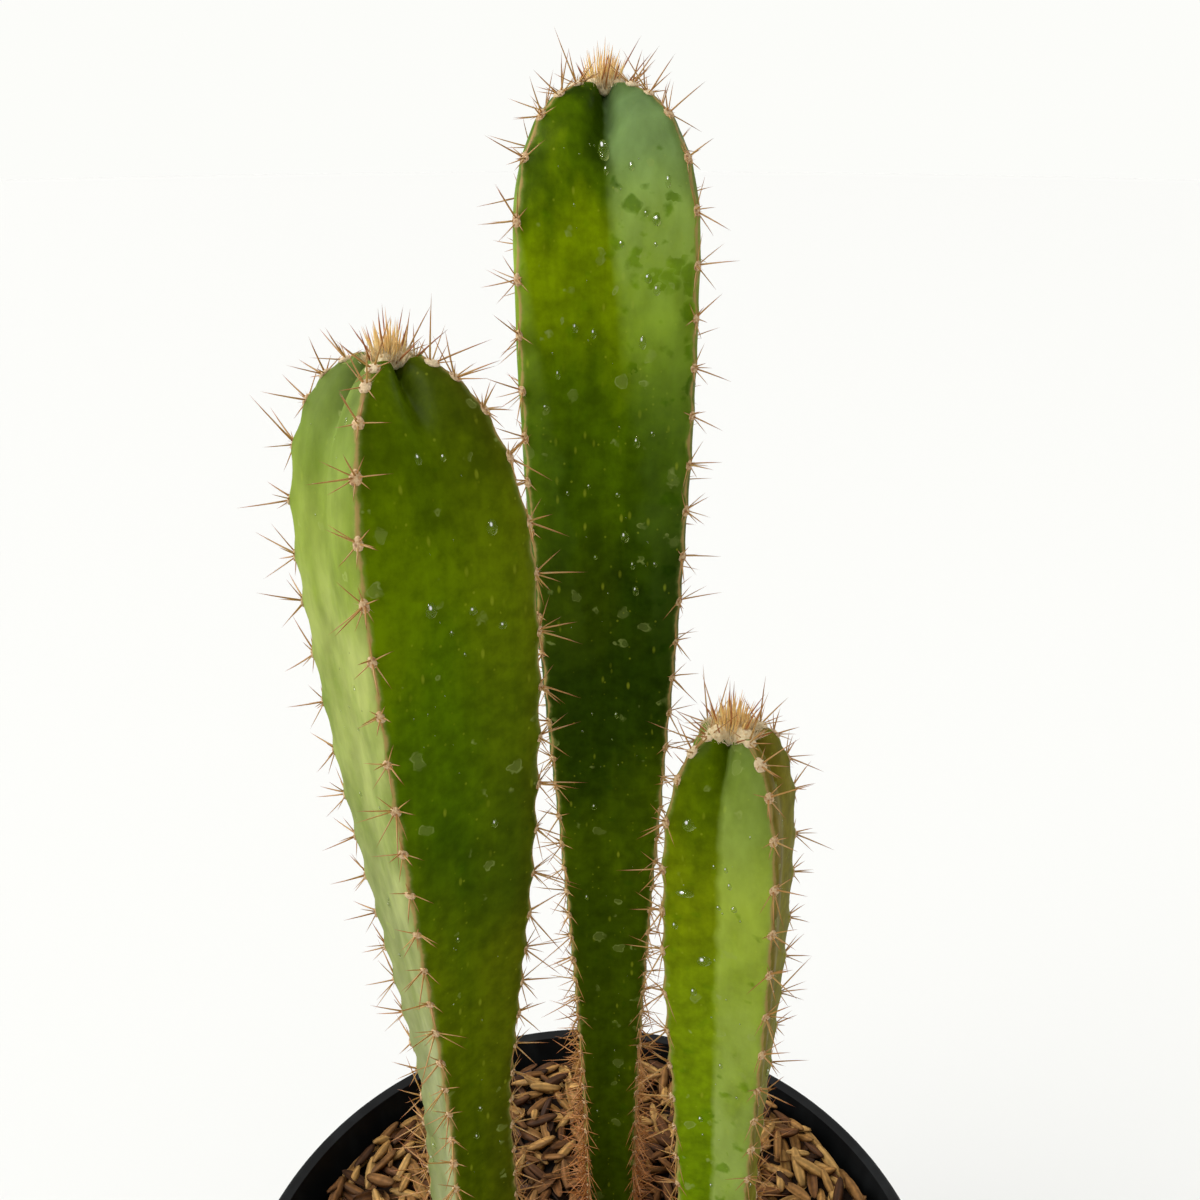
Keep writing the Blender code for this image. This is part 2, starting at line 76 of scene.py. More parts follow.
class Kind(Enum):
    """Kinds of node: its type, with the operation or the data type where it has one."""

    ADD = "ShaderNodeMath ADD"
    SUBTRACT = "ShaderNodeMath SUBTRACT"
    MULTIPLY = "ShaderNodeMath MULTIPLY"
    MULTIPLY_ADD = "ShaderNodeMath MULTIPLY_ADD"
    DIVIDE = "ShaderNodeMath DIVIDE"
    POWER = "ShaderNodeMath POWER"
    ABSOLUTE = "ShaderNodeMath ABSOLUTE"
    MAXIMUM = "ShaderNodeMath MAXIMUM"
    OVER = "ShaderNodeMath GREATER_THAN"
    ROUND = "ShaderNodeMath ROUND"
    SINE = "ShaderNodeMath SINE"
    COSINE = "ShaderNodeMath COSINE"
    ARCSINE = "ShaderNodeMath ARCSINE"
    JOIN = "ShaderNodeVectorMath ADD"
    STRETCH = "ShaderNodeVectorMath MULTIPLY"
    SCALE = "ShaderNodeVectorMath SCALE"
    CROSS = "ShaderNodeVectorMath CROSS_PRODUCT"
    DOT = "ShaderNodeVectorMath DOT_PRODUCT"
    DISTANCE = "ShaderNodeVectorMath DISTANCE"
    COMBINE = "ShaderNodeCombineXYZ"
    SPLIT = "ShaderNodeSeparateXYZ"
    REMAP = "ShaderNodeMapRange"
    BLEND = "ShaderNodeMix FLOAT"
    MIX = "ShaderNodeMix RGBA"
    RAMP = "ShaderNodeValToRGB"
    RED = "ShaderNodeSeparateColor"
    NOISE = "ShaderNodeTexNoise"
    CELLS = "ShaderNodeTexVoronoi"
    BUMP = "ShaderNodeBump"
    MAPPING = "ShaderNodeMapping"
    PLACE = "ShaderNodeTexCoord"
    ATTRIBUTE = "ShaderNodeAttribute"
    BACKGROUND = "ShaderNodeBackground"
    LIGHT_PATH = "ShaderNodeLightPath"
    MIX_SHADER = "ShaderNodeMixShader"
    WORLD = "ShaderNodeOutputWorld"
    READ = "GeometryNodeInputNamedAttribute"
    STORE = "GeometryNodeStoreNamedAttribute FLOAT"
    STORE_WAY = "GeometryNodeStoreNamedAttribute FLOAT_VECTOR"
    POSITION = "GeometryNodeInputPosition"
    NORMAL = "GeometryNodeInputNormal"
    INDEX = "GeometryNodeInputIndex"
    RANDOM = "FunctionNodeRandomValue FLOAT"
    ALIGN = "FunctionNodeAlignRotationToVector"
    OBJECT = "GeometryNodeObjectInfo"
    NEAREST = "GeometryNodeProximity"
    RING = "GeometryNodeCurvePrimitiveCircle"
    TO_CURVE = "GeometryNodeMeshToCurve"
    SWEEP = "GeometryNodeCurveToMesh"
    BALL = "GeometryNodeMeshUVSphere"
    EVEN_BALL = "GeometryNodeMeshIcoSphere"
    CONE = "GeometryNodeMeshCone"
    MOVE = "GeometryNodeSetPosition"
    TURN = "GeometryNodeTransform"
    REPEAT = "GeometryNodeDuplicateElements"
    STAND = "GeometryNodeInstanceOnPoints"
    REALIZE = "GeometryNodeRealizeInstances"
    SMOOTH = "GeometryNodeSetShadeSmooth"
    PAINT = "GeometryNodeSetMaterial"
    OUTPUT = "NodeGroupOutput"


def clamp(value: float) -> float:
    """A value kept between 0 and 1."""
    return max(0.0, min(1.0, value))


def smooth(value: float) -> float:
    """Ease from 0 to 1 with level ends."""
    t = clamp(value)
    return t * t * (3 - 2 * t)


def mix(a: float, b: float, t: float) -> float:
    """The value a share t of the way from a to b."""
    return a + (b - a) * t


def linear(code: str) -> tuple[float, ...]:
    """Turn an sRGB hex code such as "#3f5a00" into linear red, green, blue and an alpha of 1."""
    parts = [int(code[start:start + 2], 16) / 255 for start in (1, 3, 5)]
    return *(part / 12.92 if part <= 0.04045 else ((part + 0.055) / 1.055) ** 2.4 for part in parts), 1.0


def feed(node: Node, *values: NodeInput, **given: Any) -> Node:
    """Give a node its settings, then its input values and its links.

    Args:
        node: The node to set.
        values: Values, sockets or nodes for its inputs in use, in the inputs' own order.
        given: More inputs by name and the node's other settings, in lower case.

    Returns:
        The same node.
    """
    named = {socket.name.lower().replace(" ", "_") for socket in node.inputs}
    for label in given.keys() - named:
        setattr(node, label, given[label])
    sockets = [socket for socket in node.inputs if socket.enabled]
    by_name = {socket.name.lower().replace(" ", "_"): socket for socket in sockets}
    pairs = list(zip(sockets, values))
    pairs += [(by_name[label], value) for label, value in given.items() if label in named]
    for socket, value in pairs:
        if isinstance(value, Node):
            value = next(out for out in value.outputs if out.enabled)
        if isinstance(value, NodeSocket):
            node.id_data.links.new(value, socket)
        else:
            socket.default_value = value
    return node


def link_object(name: str, data: ID) -> Object:
    """Put a mesh, a light or a camera in the scene, at the origin.

    Args:
        name: The new object's name.
        data: What it holds.

    Returns:
        The object.
    """
    obj = bpy.data.objects.new(name, data)
    bpy.context.scene.collection.objects.link(obj)
    return obj


def plain_mesh(obj: Object) -> Mesh:
    """Read an object's evaluated shape as a plain mesh of its own."""
    depsgraph, read = bpy.context.evaluated_depsgraph_get(), bpy.data.meshes.new_from_object
    return read(obj.evaluated_get(depsgraph), preserve_all_data_layers=True, depsgraph=depsgraph)


def face_outward(mesh: Mesh) -> None:
    """Turn the faces of a closed mesh outward.

    Args:
        mesh: The mesh to change.
    """
    work = bmesh.new()
    work.from_mesh(mesh)
    bmesh.ops.recalc_face_normals(work, faces=work.faces)
    work.to_mesh(mesh)
    work.free()


def guide_mesh(name: str, rows: list[Row], chained: bool = False) -> Object:
    """Make a guide that a growth tree reads: one vertex for each row.

    Args:
        name: The guide's name.
        rows: For each vertex its "place" and its other named values.
        chained: Whether edges join each vertex to the next.

    Returns:
        The guide object, with one attribute for each named value.
    """
    mesh = bpy.data.meshes.new(name)
    edges = [(i, i + 1) for i in range(len(rows) - 1)] if chained else []
    mesh.from_pydata([row["place"] for row in rows], edges, [])
    for key, sample in rows[0].items():
        if key == "place":
            continue
        values = [row[key] for row in rows]
        if isinstance(sample, Vector):
            layer = mesh.attributes.new(key, "FLOAT_VECTOR", "POINT")
            layer.data.foreach_set("vector", [part for value in values for part in value])
        else:
            mesh.attributes.new(key, "FLOAT", "POINT").data.foreach_set("value", values)
    return link_object(name, mesh)


def merge_meshes(name: str, parts: list[Object]) -> Object:
    """Join several finished objects in one, and keep their attributes.

    Args:
        name: The name of the whole.
        parts: The objects, of which the first remains.

    Returns:
        The whole.
    """
    with bpy.context.temp_override(active_object=parts[0], selected_editable_objects=parts):
        bpy.ops.object.join()
    parts[0].name = name
    return parts[0]


def turned_mesh(name: str, profile: list[tuple[float, float]], sides: int) -> Mesh:
    """Turn a closed profile round Z.

    Args:
        name: The mesh's name.
        profile: Radius and height pairs; the first and the last lie on the axis.
        sides: How many corners each ring has.

    Returns:
        The closed mesh, smooth.
    """
    angles = [math.tau * i / sides for i in range(sides)]
    points = [(0, 0, profile[0][1])]
    for radius, height in profile[1:-1]:
        points += [(radius * math.cos(a), radius * math.sin(a), height) for a in angles]
    points.append((0, 0, profile[-1][1]))
    faces = [(0, 1 + (i + 1) % sides, 1 + i) for i in range(sides)]
    for a in range(1, 1 + (len(profile) - 3) * sides, sides):
        for i in range(sides):
            j = (i + 1) % sides
            faces.append((a + i, a + j, a + sides + j, a + sides + i))
    top = len(points) - 1 - sides
    faces += [(top + i, top + (i + 1) % sides, len(points) - 1) for i in range(sides)]
    mesh = bpy.data.meshes.new(name)
    mesh.from_pydata(points, [], faces)
    mesh.shade_smooth()
    return mesh


class NodeWork:
    """Something that is made of nodes in a tree of its own."""

    tree: NodeTree

    def add(
        self, kind: Kind, *values: NodeInput, stops: Stops = (), ease: str = "LINEAR", **given: Any
    ) -> Node:
        """Add a node with its settings and its links.

        Args:
            kind: What the node does.
            values: Values, sockets or nodes for its inputs in use, in the inputs' own order.
            stops: The stops of a colour ramp.
            ease: The interpolation between those stops.
            given: More inputs by name and the node's other settings, in lower case.

        Returns:
            The new node, whose first output in use stands for it wherever a value is wanted.
        """
        name, _, mode = kind.value.partition(" ")
        node = self.tree.nodes.new(name)
        if mode:
            setattr(node, "operation" if "Math" in name else "data_type", mode)
        for number, (place, tone) in enumerate(stops):
            node.color_ramp.interpolation = ease
            elements = node.color_ramp.elements
            stop = elements[number] if number < 2 else elements.new(place)
            stop.position = place
            stop.color = linear(tone) if isinstance(tone, str) else (tone, tone, tone, 1.0)
        return feed(node, *values, **given)


# Finishes


class Coat(NodeWork):
    """The nodes of one material, with the place and the values that they read at each point."""

    def __init__(self, name: str, reads: tuple[str, ...]) -> None:
        """Start a material.

        Args:
            name: Its name.
            reads: The mesh attributes that it reads.
        """
        self.material = bpy.data.materials.new(name)
        self.material.use_nodes = True
        self.tree = self.material.node_tree
        self.place = self.add(Kind.PLACE).outputs["Object"]
        self.read = {
            read: self.add(Kind.ATTRIBUTE, attribute_name=read).outputs["Fac"] for read in reads
        }

    def clouds(self, size: float, *spread: float, along: float = 1.0, **given: float) -> Node:
        """Stretch the place, lay noise of a real size on it and spread that over a range.

        Args:
            size: Size of its clouds in metres.
            spread: The lowest and highest noise in use, and what these become; or nothing.
            along: How much heights count, below 1 for streaks along the stem.
            given: The noise's other inputs.

        Returns:
            The noise, spread where that is asked for.
        """
        place = self.place if along == 1 else self.add(Kind.MAPPING, self.place, scale=(1, 1, along))
        cloudy = self.add(Kind.NOISE, place, scale=1 / size, **given)
        return self.add(Kind.REMAP, cloudy, *spread) if spread else cloudy


class Finish:
    """A node material. A subclass lists the attributes that it reads, and gives its look."""

    name: str
    reads: tuple[str, ...] = ()

    def build(self) -> Material:
        """Build the material, with its look on a Principled shader.

        Returns:
            The material.
        """
        coat = Coat(self.name, self.reads)
        feed(coat.tree.nodes["Principled BSDF"], **self.look(coat))
        return coat.material

    def look(self, coat: Coat) -> Look:
        """Add the nodes that make the look, and return the shader's inputs."""
        raise NotImplementedError


class MouldedPolypropylene(Finish):
    """Black polypropylene of a nursery pot, injection moulded and thin.

    The mould leaves a satin face with a very fine grain, and watering leaves a thin grey film.
    """

    name = "moulded_black_polypropylene"
    body, film = "#08090a", "#24292b"
    grain, film_patch, film_run = 0.6 * MM, 14 * MM, 4 * MM

    def look(self, coat: Coat) -> Look:
        """Film where patches and runs meet, on the black body.

        Args:
            coat: The material's nodes.

        Returns:
            The shader's inputs.
        """
        patches = coat.clouds(self.film_patch, detail=6.0)
        film = coat.add(Kind.MULTIPLY, patches, coat.clouds(self.film_run, along=0.12, detail=3.0))
        amount = coat.add(Kind.RAMP, film, stops=((0.26, 0.0), (0.48, 0.34)))
        return dict(
            base_color=coat.add(Kind.MIX, amount, linear(self.body), linear(self.film)),
            roughness=coat.add(Kind.REMAP, film, 0.1, 0.6, 0.4, 0.62),
            specular_ior_level=0.11,
            normal=coat.add(Kind.BUMP, strength=0.25, distance=0.05 * MM, height=coat.clouds(self.grain)),
        )


@dataclass(frozen=True)
class PeatMix(Finish):
    """Moist potting mix of peat crumbs with a few pale grains."""

    name: str = "moist_peat_mix"
    dark: str = "#1d120a"
    crumb: str = "#4a3222"
    grain: str = "#b9ab95"
    crumb_size: float = 2.2 * MM
    mottle: float = 6 * MM

    def look(self, coat: Coat) -> Look:
        """Mottled crumbs, of which a few are pale.

        Args:
            coat: The material's nodes.

        Returns:
            The shader's inputs.
        """
        crumbs = coat.add(Kind.CELLS, coat.place, scale=1 / self.crumb_size)
        mottled = coat.clouds(self.mottle, detail=5.0)
        earth = coat.add(Kind.RAMP, mottled, stops=((0.35, self.dark), (0.7, self.crumb)))
        chosen = coat.add(Kind.RED, crumbs.outputs["Color"])
        pale = coat.add(Kind.RAMP, chosen, stops=((0.93, 0.0), (0.96, 0.7)))
        return dict(
            base_color=coat.add(Kind.MIX, pale, earth, linear(self.grain)),
            roughness=0.92,
            specular_ior_level=0.1,
            normal=coat.add(Kind.BUMP, strength=0.8, distance=0.8 * MM, height=crumbs, invert=True),
        )


class RiceHusk(Finish):
    """Dry rice husk: a thin silica-rich shell with fine ribs along it.

    The tint of each husk runs from straw to a dark, aged brown, and its ends are darker. Round
    the stems the husks are painted darker and browner, as shade between the stems.
    """

    name = "dry_rice_husk"
    reads = ("tint", "dry", "across", "lengthwise")
    # the darkest tones also carry the painted shade near the stems
    straw, tan, brown, weathered = "#cb9f5c", "#aa7c42", "#704722", "#3c2311"
    ribs_across = 7.0
    mottle = 1.4 * MM

    def look(self, coat: Coat) -> Look:
        """One tint for each husk, darkened near the stems as painted shade, striped by its ribs and darker
        towards its ends.

        Args:
            coat: The material's nodes.

        Returns:
            The shader's inputs.
        """
        # painted shade: the tint is pulled towards the dark end near the stems
        dried = coat.add(Kind.MULTIPLY, coat.read["tint"], coat.read["dry"])
        stops = ((0.0, self.weathered), (0.28, self.brown), (0.66, self.tan), (1.0, self.straw))
        wave = coat.add(Kind.SINE, coat.add(Kind.MULTIPLY, coat.read["across"], self.ribs_across))
        stripe = coat.add(Kind.REMAP, wave, -1.0, 1.0, 0.72, 1.12)
        shade = coat.add(Kind.MULTIPLY, stripe, coat.clouds(self.mottle, 0.3, 0.7, 0.7, 1.15))
        reach = coat.add(Kind.ABSOLUTE, coat.read["lengthwise"])
        total = coat.add(Kind.MULTIPLY, shade, coat.add(Kind.REMAP, reach, 0.55, 1.0, 1.0, 0.62))
        return dict(
            base_color=coat.add(Kind.SCALE, coat.add(Kind.RAMP, dried, stops=stops), total),
            roughness=0.68,
            specular_ior_level=0.08,
            normal=coat.add(Kind.BUMP, strength=0.5, distance=0.12 * MM, height=wave),
        )


@dataclass(frozen=True)
class CactusSkin(Finish):
    """Waxy skin of a columnar cactus stem.

    The cuticle is satin and deep green, with soft streaks along the stem and yellow-green
    flecks, and a dull brown-green on the faces turned from the key light that is partly painted
    shade. Grey wax lies on some faces, most on those turned to the key light, so it is partly
    painted light; water leaves small green islands in it and pale rings where it dried. A thin
    corky line runs along each rib crest, with a pale margin.
    """

    name: str
    greens: Stops  # living green by height
    waxes: Stops  # wax by height
    # wax cover by the turn: most on the faces turned to the key light, partly real bloom and partly painted
    # light
    wax_around: Stops  # cover by the turn round the stem, from its first crest
    wax_rise: Stops  # cover by height
    wet_around: Stops
    wet_rise: Stops
    # brown-green tint by the turn round the stem, on the faces turned from the key light: partly the skin's
    # own colour, partly painted shade
    olive_around: Stops
    slant: float = 0.0
    glow_share: float = 0.3
    glow: str = "#7f9206"
    # the brown-green of those faces, partly the skin's own and partly painted shade
    olive: str = "#6a6222"
    fleck: str = "#a2ac2c"
    soaked: tuple[float, float, float] = (0.82, 0.93, 0.84)
    dashes: float = 0.6
    ring: str = "#9aa85a"
    margin: str = "#949c54"
    cork: str = "#b4925c"
    reads = ("around", "rise", "crest_gap")

    def look(self, coat: Coat) -> Look:
        """Green and wax, with painted light and painted shade laid by the turn round the stem, then
        the wet islands, dried rings and crests on them.

        Args:
            coat: The material's nodes.

        Returns:
            The shader's inputs.
        """
        coat.read["turn"] = coat.add(Kind.MULTIPLY, coat.read["around"], 1 / math.tau)
        wet = self._wet(coat)
        # wax mask: partly real bloom, partly painted light on the faces turned to the key light
        wax = self._wax(coat, wet)
        pale = coat.add(Kind.RAMP, coat.read["rise"], stops=self.waxes, ease="EASE")
        uneven = coat.clouds(4 * MM, 0.35, 0.65, 0.84, 1.12, along=0.55, detail=6.0)
        waxed_and_lit = coat.add(Kind.MIX, wax, self._green(coat), coat.add(Kind.SCALE, pale, uneven))
        wetted = coat.add(Kind.MIX, wet, waxed_and_lit, coat.add(Kind.STRETCH, waxed_and_lit, self.soaked))
        streaks = coat.clouds(1.6 * MM, along=0.12, detail=4.0)
        fine = coat.add(Kind.MULTIPLY_ADD, coat.clouds(0.5 * MM), 0.35, streaks)
        swollen = coat.add(Kind.MULTIPLY_ADD, wet, 0.5, fine)
        return dict(
            base_color=self._crest(coat, self._rings(coat, wetted)),
            roughness=coat.add(Kind.BLEND, wet, coat.add(Kind.REMAP, wax, 0.0, 1.0, 0.4, 0.56), 0.22),
            specular_ior_level=0.006,  # more lays a grey film where the skin turns away
            subsurface_weight=0.08,
            subsurface_radius=(0.6, 1.0, 0.15),
            subsurface_scale=1.2 * MM,
            normal=coat.add(Kind.BUMP, strength=0.5, distance=0.12 * MM, height=swollen),
        )

    def _green(self, coat: Coat) -> Node:
        """Living green under the wax, with a brown-green tint that is partly painted shade.

        Args:
            coat: The material's nodes.

        Returns:
            Its colour.
        """
        shift = coat.clouds(9 * MM, 0.3, 0.7, -0.045, 0.045, along=0.35, detail=4.0)
        level = coat.add(Kind.ADD, coat.read["rise"], shift)
        colour = coat.add(Kind.RAMP, level, stops=self.greens, ease="EASE")
        glow = coat.clouds(17 * MM, 0.48, 0.7, 0.0, self.glow_share, along=0.35)
        colour = coat.add(Kind.MIX, glow, colour, linear(self.glow))
        # painted shade, partly the skin's own colour: a brown-green on the faces turned from the key light
        brown = coat.add(Kind.RAMP, coat.read["turn"], stops=self.olive_around, ease="EASE")
        colour = coat.add(Kind.MIX, brown, colour, linear(self.olive))
        streaks = coat.clouds(1.3 * MM, 0.3, 0.7, 0.92, 1.08, along=0.06, detail=4.0)
        blots = coat.clouds(3 * MM, 0.36, 0.64, 0.76, 1.2, detail=6.0, roughness=0.62)
        colour = coat.add(Kind.SCALE, colour, coat.add(Kind.MULTIPLY, streaks, blots))
        # Dashes along the stem, then smaller round flecks
        kinds = ((0.4, 1.5 * MM, 0.24, self.dashes), (0.9, 1.1 * MM, 0.22, self.dashes * 0.9))
        for stretch, size, reach, strength in kinds:
            place = coat.add(Kind.MAPPING, coat.place, scale=(1, 1, stretch))
            cells = coat.add(Kind.CELLS, place, scale=1 / size)
            dots = coat.add(Kind.REMAP, cells, 0.1, reach, 1.0, 0.0)
            chosen = coat.add(Kind.RED, cells.outputs["Color"])
            rare = coat.add(Kind.RAMP, chosen, stops=((0.78, 0.0), (0.96, strength)))
            colour = coat.add(Kind.MIX, coat.add(Kind.MULTIPLY, dots, rare), colour, linear(self.fleck))
        return colour

    def _wax(self, coat: Coat, wet: Wire) -> Node:
        """How much wax covers the skin, most on the faces turned to the key light, so partly
        painted light. Its ragged edge drifts round the stem on its way down.

        Args:
            coat: The material's nodes.
            wet: Where water lies.

        Returns:
            The share of wax, which is partly painted light.
        """
        below = coat.add(Kind.SUBTRACT, 0.96, coat.read["rise"], use_clamp=True)
        drift = coat.add(Kind.MULTIPLY, below, -self.slant)
        stray = coat.clouds(5 * MM, 0.25, 0.75, -0.5, 0.5, detail=3.0)
        moved = coat.add(Kind.ADD, coat.read["turn"], drift)
        strayed = coat.add(Kind.ADD, moved, coat.add(Kind.MULTIPLY, stray, drift))
        there = coat.add(Kind.MULTIPLY_ADD, stray, 0.022, strayed)
        sides = coat.add(Kind.RAMP, there, stops=self.wax_around)
        height = coat.add(Kind.RAMP, coat.read["rise"], stops=self.wax_rise, ease="EASE")
        cover = coat.clouds(6 * MM, 0.3, 0.6, 0.5, 1.0, along=0.5, detail=5.0)
        cloudy = coat.add(Kind.MULTIPLY, coat.add(Kind.MULTIPLY, sides, height), cover)
        washed = coat.add(Kind.REMAP, wet, 0.0, 1.0, 1.0, 0.34)
        return coat.add(Kind.MULTIPLY, cloudy, washed, use_clamp=True)

    def _wet(self, coat: Coat) -> Node:
        """Small irregular islands where water has soaked the wax.

        Args:
            coat: The material's nodes.

        Returns:
            1 in the islands and 0 outside.
        """
        warp = coat.clouds(2.6 * MM, detail=3.0).outputs["Color"]
        moved = coat.add(Kind.JOIN, coat.place, coat.add(Kind.SCALE, warp, 3.8 * MM))
        sides = coat.add(Kind.RAMP, coat.read["turn"], stops=self.wet_around)
        height = coat.add(Kind.RAMP, coat.read["rise"], stops=self.wet_rise)
        where = coat.add(Kind.MULTIPLY, sides, height)
        cells = coat.add(Kind.CELLS, moved, scale=1 / (3.2 * MM))
        size = coat.add(Kind.REMAP, coat.add(Kind.RED, cells.outputs["Color"]), 0.3, 1.0, 0.1, 0.54)
        inside = coat.add(Kind.SUBTRACT, coat.add(Kind.MULTIPLY, size, where), cells)
        return coat.add(Kind.REMAP, inside, 0.0, 0.22, 0.0, 1.0)

    def _rings(self, coat: Coat, colour: Wire) -> Node:
        """Draw faint pale outlines of dried drops, with a thin film inside them.

        Args:
            coat: The material's nodes.
            colour: The skin's colour so far.

        Returns:
            The colour with the rings.
        """
        warp = coat.clouds(2.4 * MM)
        moved = coat.add(Kind.JOIN, coat.place, coat.add(Kind.SCALE, warp.outputs["Color"], 3 * MM))
        cells = coat.add(Kind.CELLS, moved, scale=1 / (4.0 * MM))
        size = coat.add(Kind.REMAP, coat.add(Kind.RED, cells.outputs["Color"]), 0.45, 1.0, 0.0, 0.3)
        off = coat.add(Kind.SUBTRACT, cells, size)
        line = coat.add(Kind.REMAP, coat.add(Kind.ABSOLUTE, off), 0.01, 0.06, 0.6, 0.0)
        drawn = coat.add(Kind.MULTIPLY, line, coat.add(Kind.REMAP, warp, 0.4, 0.6, 0.0, 1.0))
        both = coat.add(Kind.MAXIMUM, drawn, coat.add(Kind.REMAP, off, -0.06, 0.02, 0.22, 0.0))
        amount = coat.add(Kind.MULTIPLY, both, coat.add(Kind.OVER, size, 0.05))
        return coat.add(Kind.MIX, amount, colour, linear(self.ring))

    def _crest(self, coat: Coat, colour: Wire) -> Node:
        """Draw the pale margin and the corky line along each rib crest.

        Args:
            coat: The material's nodes.
            colour: The skin's colour so far.

        Returns:
            The colour with both.
        """
        stray = coat.clouds(1.6 * MM, 0.25, 0.75, -0.26 * MM, 0.26 * MM, detail=3.0)
        there = coat.add(Kind.ADD, coat.read["crest_gap"], stray)
        near = 0.1 * MM, 0.9 * MM, 0.32, 0.0
        margin = coat.add(Kind.REMAP, there, *near, interpolation_type="SMOOTHSTEP")
        pale = coat.add(Kind.MIX, margin, colour, linear(self.margin))
        line = coat.add(Kind.REMAP, there, 0.06 * MM, 0.4 * MM, 0.75, 0.0)
        return coat.add(Kind.MIX, line, pale, linear(self.cork))


@dataclass(frozen=True)
class SpineHorn(Finish):
    """Horny spine: dark root, warm shaft and a red-brown point, satin all along."""

    name: str
    root: str
    shaft: str
    point: str
    pale_shaft: str
    aged: str = "#b06c34"
    reads = ("tip", "tint", "age")

    def look(self, coat: Coat) -> Look:
        """A warm and a pale spine mixed by chance, and browner with age.

        Args:
            coat: The material's nodes.

        Returns:
            The shader's inputs.
        """
        warm = ((0.0, self.root), (0.14, self.shaft), (0.5, self.shaft), (0.95, self.point))
        pale = ((0.0, self.root), (0.1, self.pale_shaft), (0.7, self.shaft), (1.0, self.point))
        tones = [coat.add(Kind.RAMP, coat.read["tip"], stops=stops) for stops in (warm, pale)]
        fresh = coat.add(Kind.MIX, coat.read["tint"], *tones)
        return dict(
            base_color=coat.add(Kind.MIX, coat.read["age"], fresh, linear(self.aged)),
            roughness=0.45,
            specular_ior_level=0.15,
            subsurface_weight=0.15,
            subsurface_radius=(1.0, 0.5, 0.25),
            subsurface_scale=0.3 * MM,
        )


@dataclass(frozen=True)
class AreoleFelt(Finish):
    """Short matted wool of an areole: cream where it is young, tan where dust has settled."""

    name: str = "areole_felt"
    cream: str = "#e2c496"
    tan: str = "#bf9262"
    scar: str = "#8c5230"
    young: str = "#f7e4bc"
    fibre: float = 0.35 * MM
    scar_gap: float = 0.85 * MM
    reads = ("youth",)

    def look(self, coat: Coat) -> Look:
        """Mottled wool with the scars of shed spines.

        Args:
            coat: The material's nodes.

        Returns:
            The shader's inputs.
        """
        wool = coat.clouds(self.fibre, detail=4.0)
        dusty = coat.add(Kind.RAMP, wool, stops=((0.34, self.tan), (0.6, self.cream)))
        base = coat.add(Kind.MIX, coat.read["youth"], dusty, linear(self.young))
        spots = coat.add(Kind.CELLS, coat.place, scale=1 / self.scar_gap)
        dots = coat.add(Kind.REMAP, spots, 0.14, 0.34, 0.7, 0.0)
        return dict(
            base_color=coat.add(Kind.MIX, dots, base, linear(self.scar)),
            roughness=0.95,
            specular_ior_level=0.1,
            sheen_weight=0.25,
            normal=coat.add(Kind.BUMP, strength=0.9, distance=0.25 * MM, height=wool),
        )


class DewWater(Finish):
    """Clean water drop on green skin.

    The skin shows through it. A painted highlight, a small white patch in its upper left,
    stands for the reflection of a light, and a painted caustic makes its lower right paler.
    """

    name = "clear_water_drop"
    body, gathered, window = "#8aa63a", "#e2ec96", "#ffffff"
    window_place, gathering_way = (-0.3, 0.42, 0), (0.66, -0.75, 0)

    def look(self, coat: Coat) -> Look:
        """Painted highlight and painted caustic, placed by the drop's own coordinates.

        Args:
            coat: The material's nodes.

        Returns:
            The shader's inputs.
        """
        local = coat.add(Kind.ATTRIBUTE, attribute_name="local").outputs["Vector"]
        flat = coat.add(Kind.STRETCH, local, (1, 1, 0))
        away = coat.add(Kind.DISTANCE, flat, self.window_place)
        # painted highlight: an opaque white patch in the upper left of each drop
        bright = coat.add(Kind.REMAP, away, 0.16, 0.34, 1.0, 0.0)
        # painted caustic: a paler, less clear arc at the lower right of each drop
        rim = coat.add(Kind.REMAP, coat.add(Kind.DOT, flat, self.gathering_way), 0.5, 0.95, 0.0, 0.8)
        caustic_body = coat.add(Kind.MIX, rim, linear(self.body), linear(self.gathered))
        return dict(
            base_color=coat.add(Kind.MIX, bright, caustic_body, linear(self.window)),
            alpha=coat.add(Kind.MAXIMUM, coat.add(Kind.MULTIPLY_ADD, rim, 0.45, 0.22), bright),
            roughness=0.04,
            specular_ior_level=0.3,
            normal=coat.add(Kind.BUMP, strength=0.08, distance=0.1 * MM, height=coat.clouds(2 * MM)),
        )


class StudioPaper(Finish):
    """Matt white paper of the studio floor, with a fine tooth."""

    name = "matt_white_paper"
    white = "#eaeae8"

    def look(self, coat: Coat) -> Look:
        """Even white, hardly rough to the touch."""
        bump = coat.add(Kind.BUMP, strength=0.05, distance=0.1 * MM, height=coat.clouds(2.5 * MM))
        return dict(base_color=linear(self.white), roughness=0.9, specular_ior_level=0.1, normal=bump)


# Geometry Nodes trees


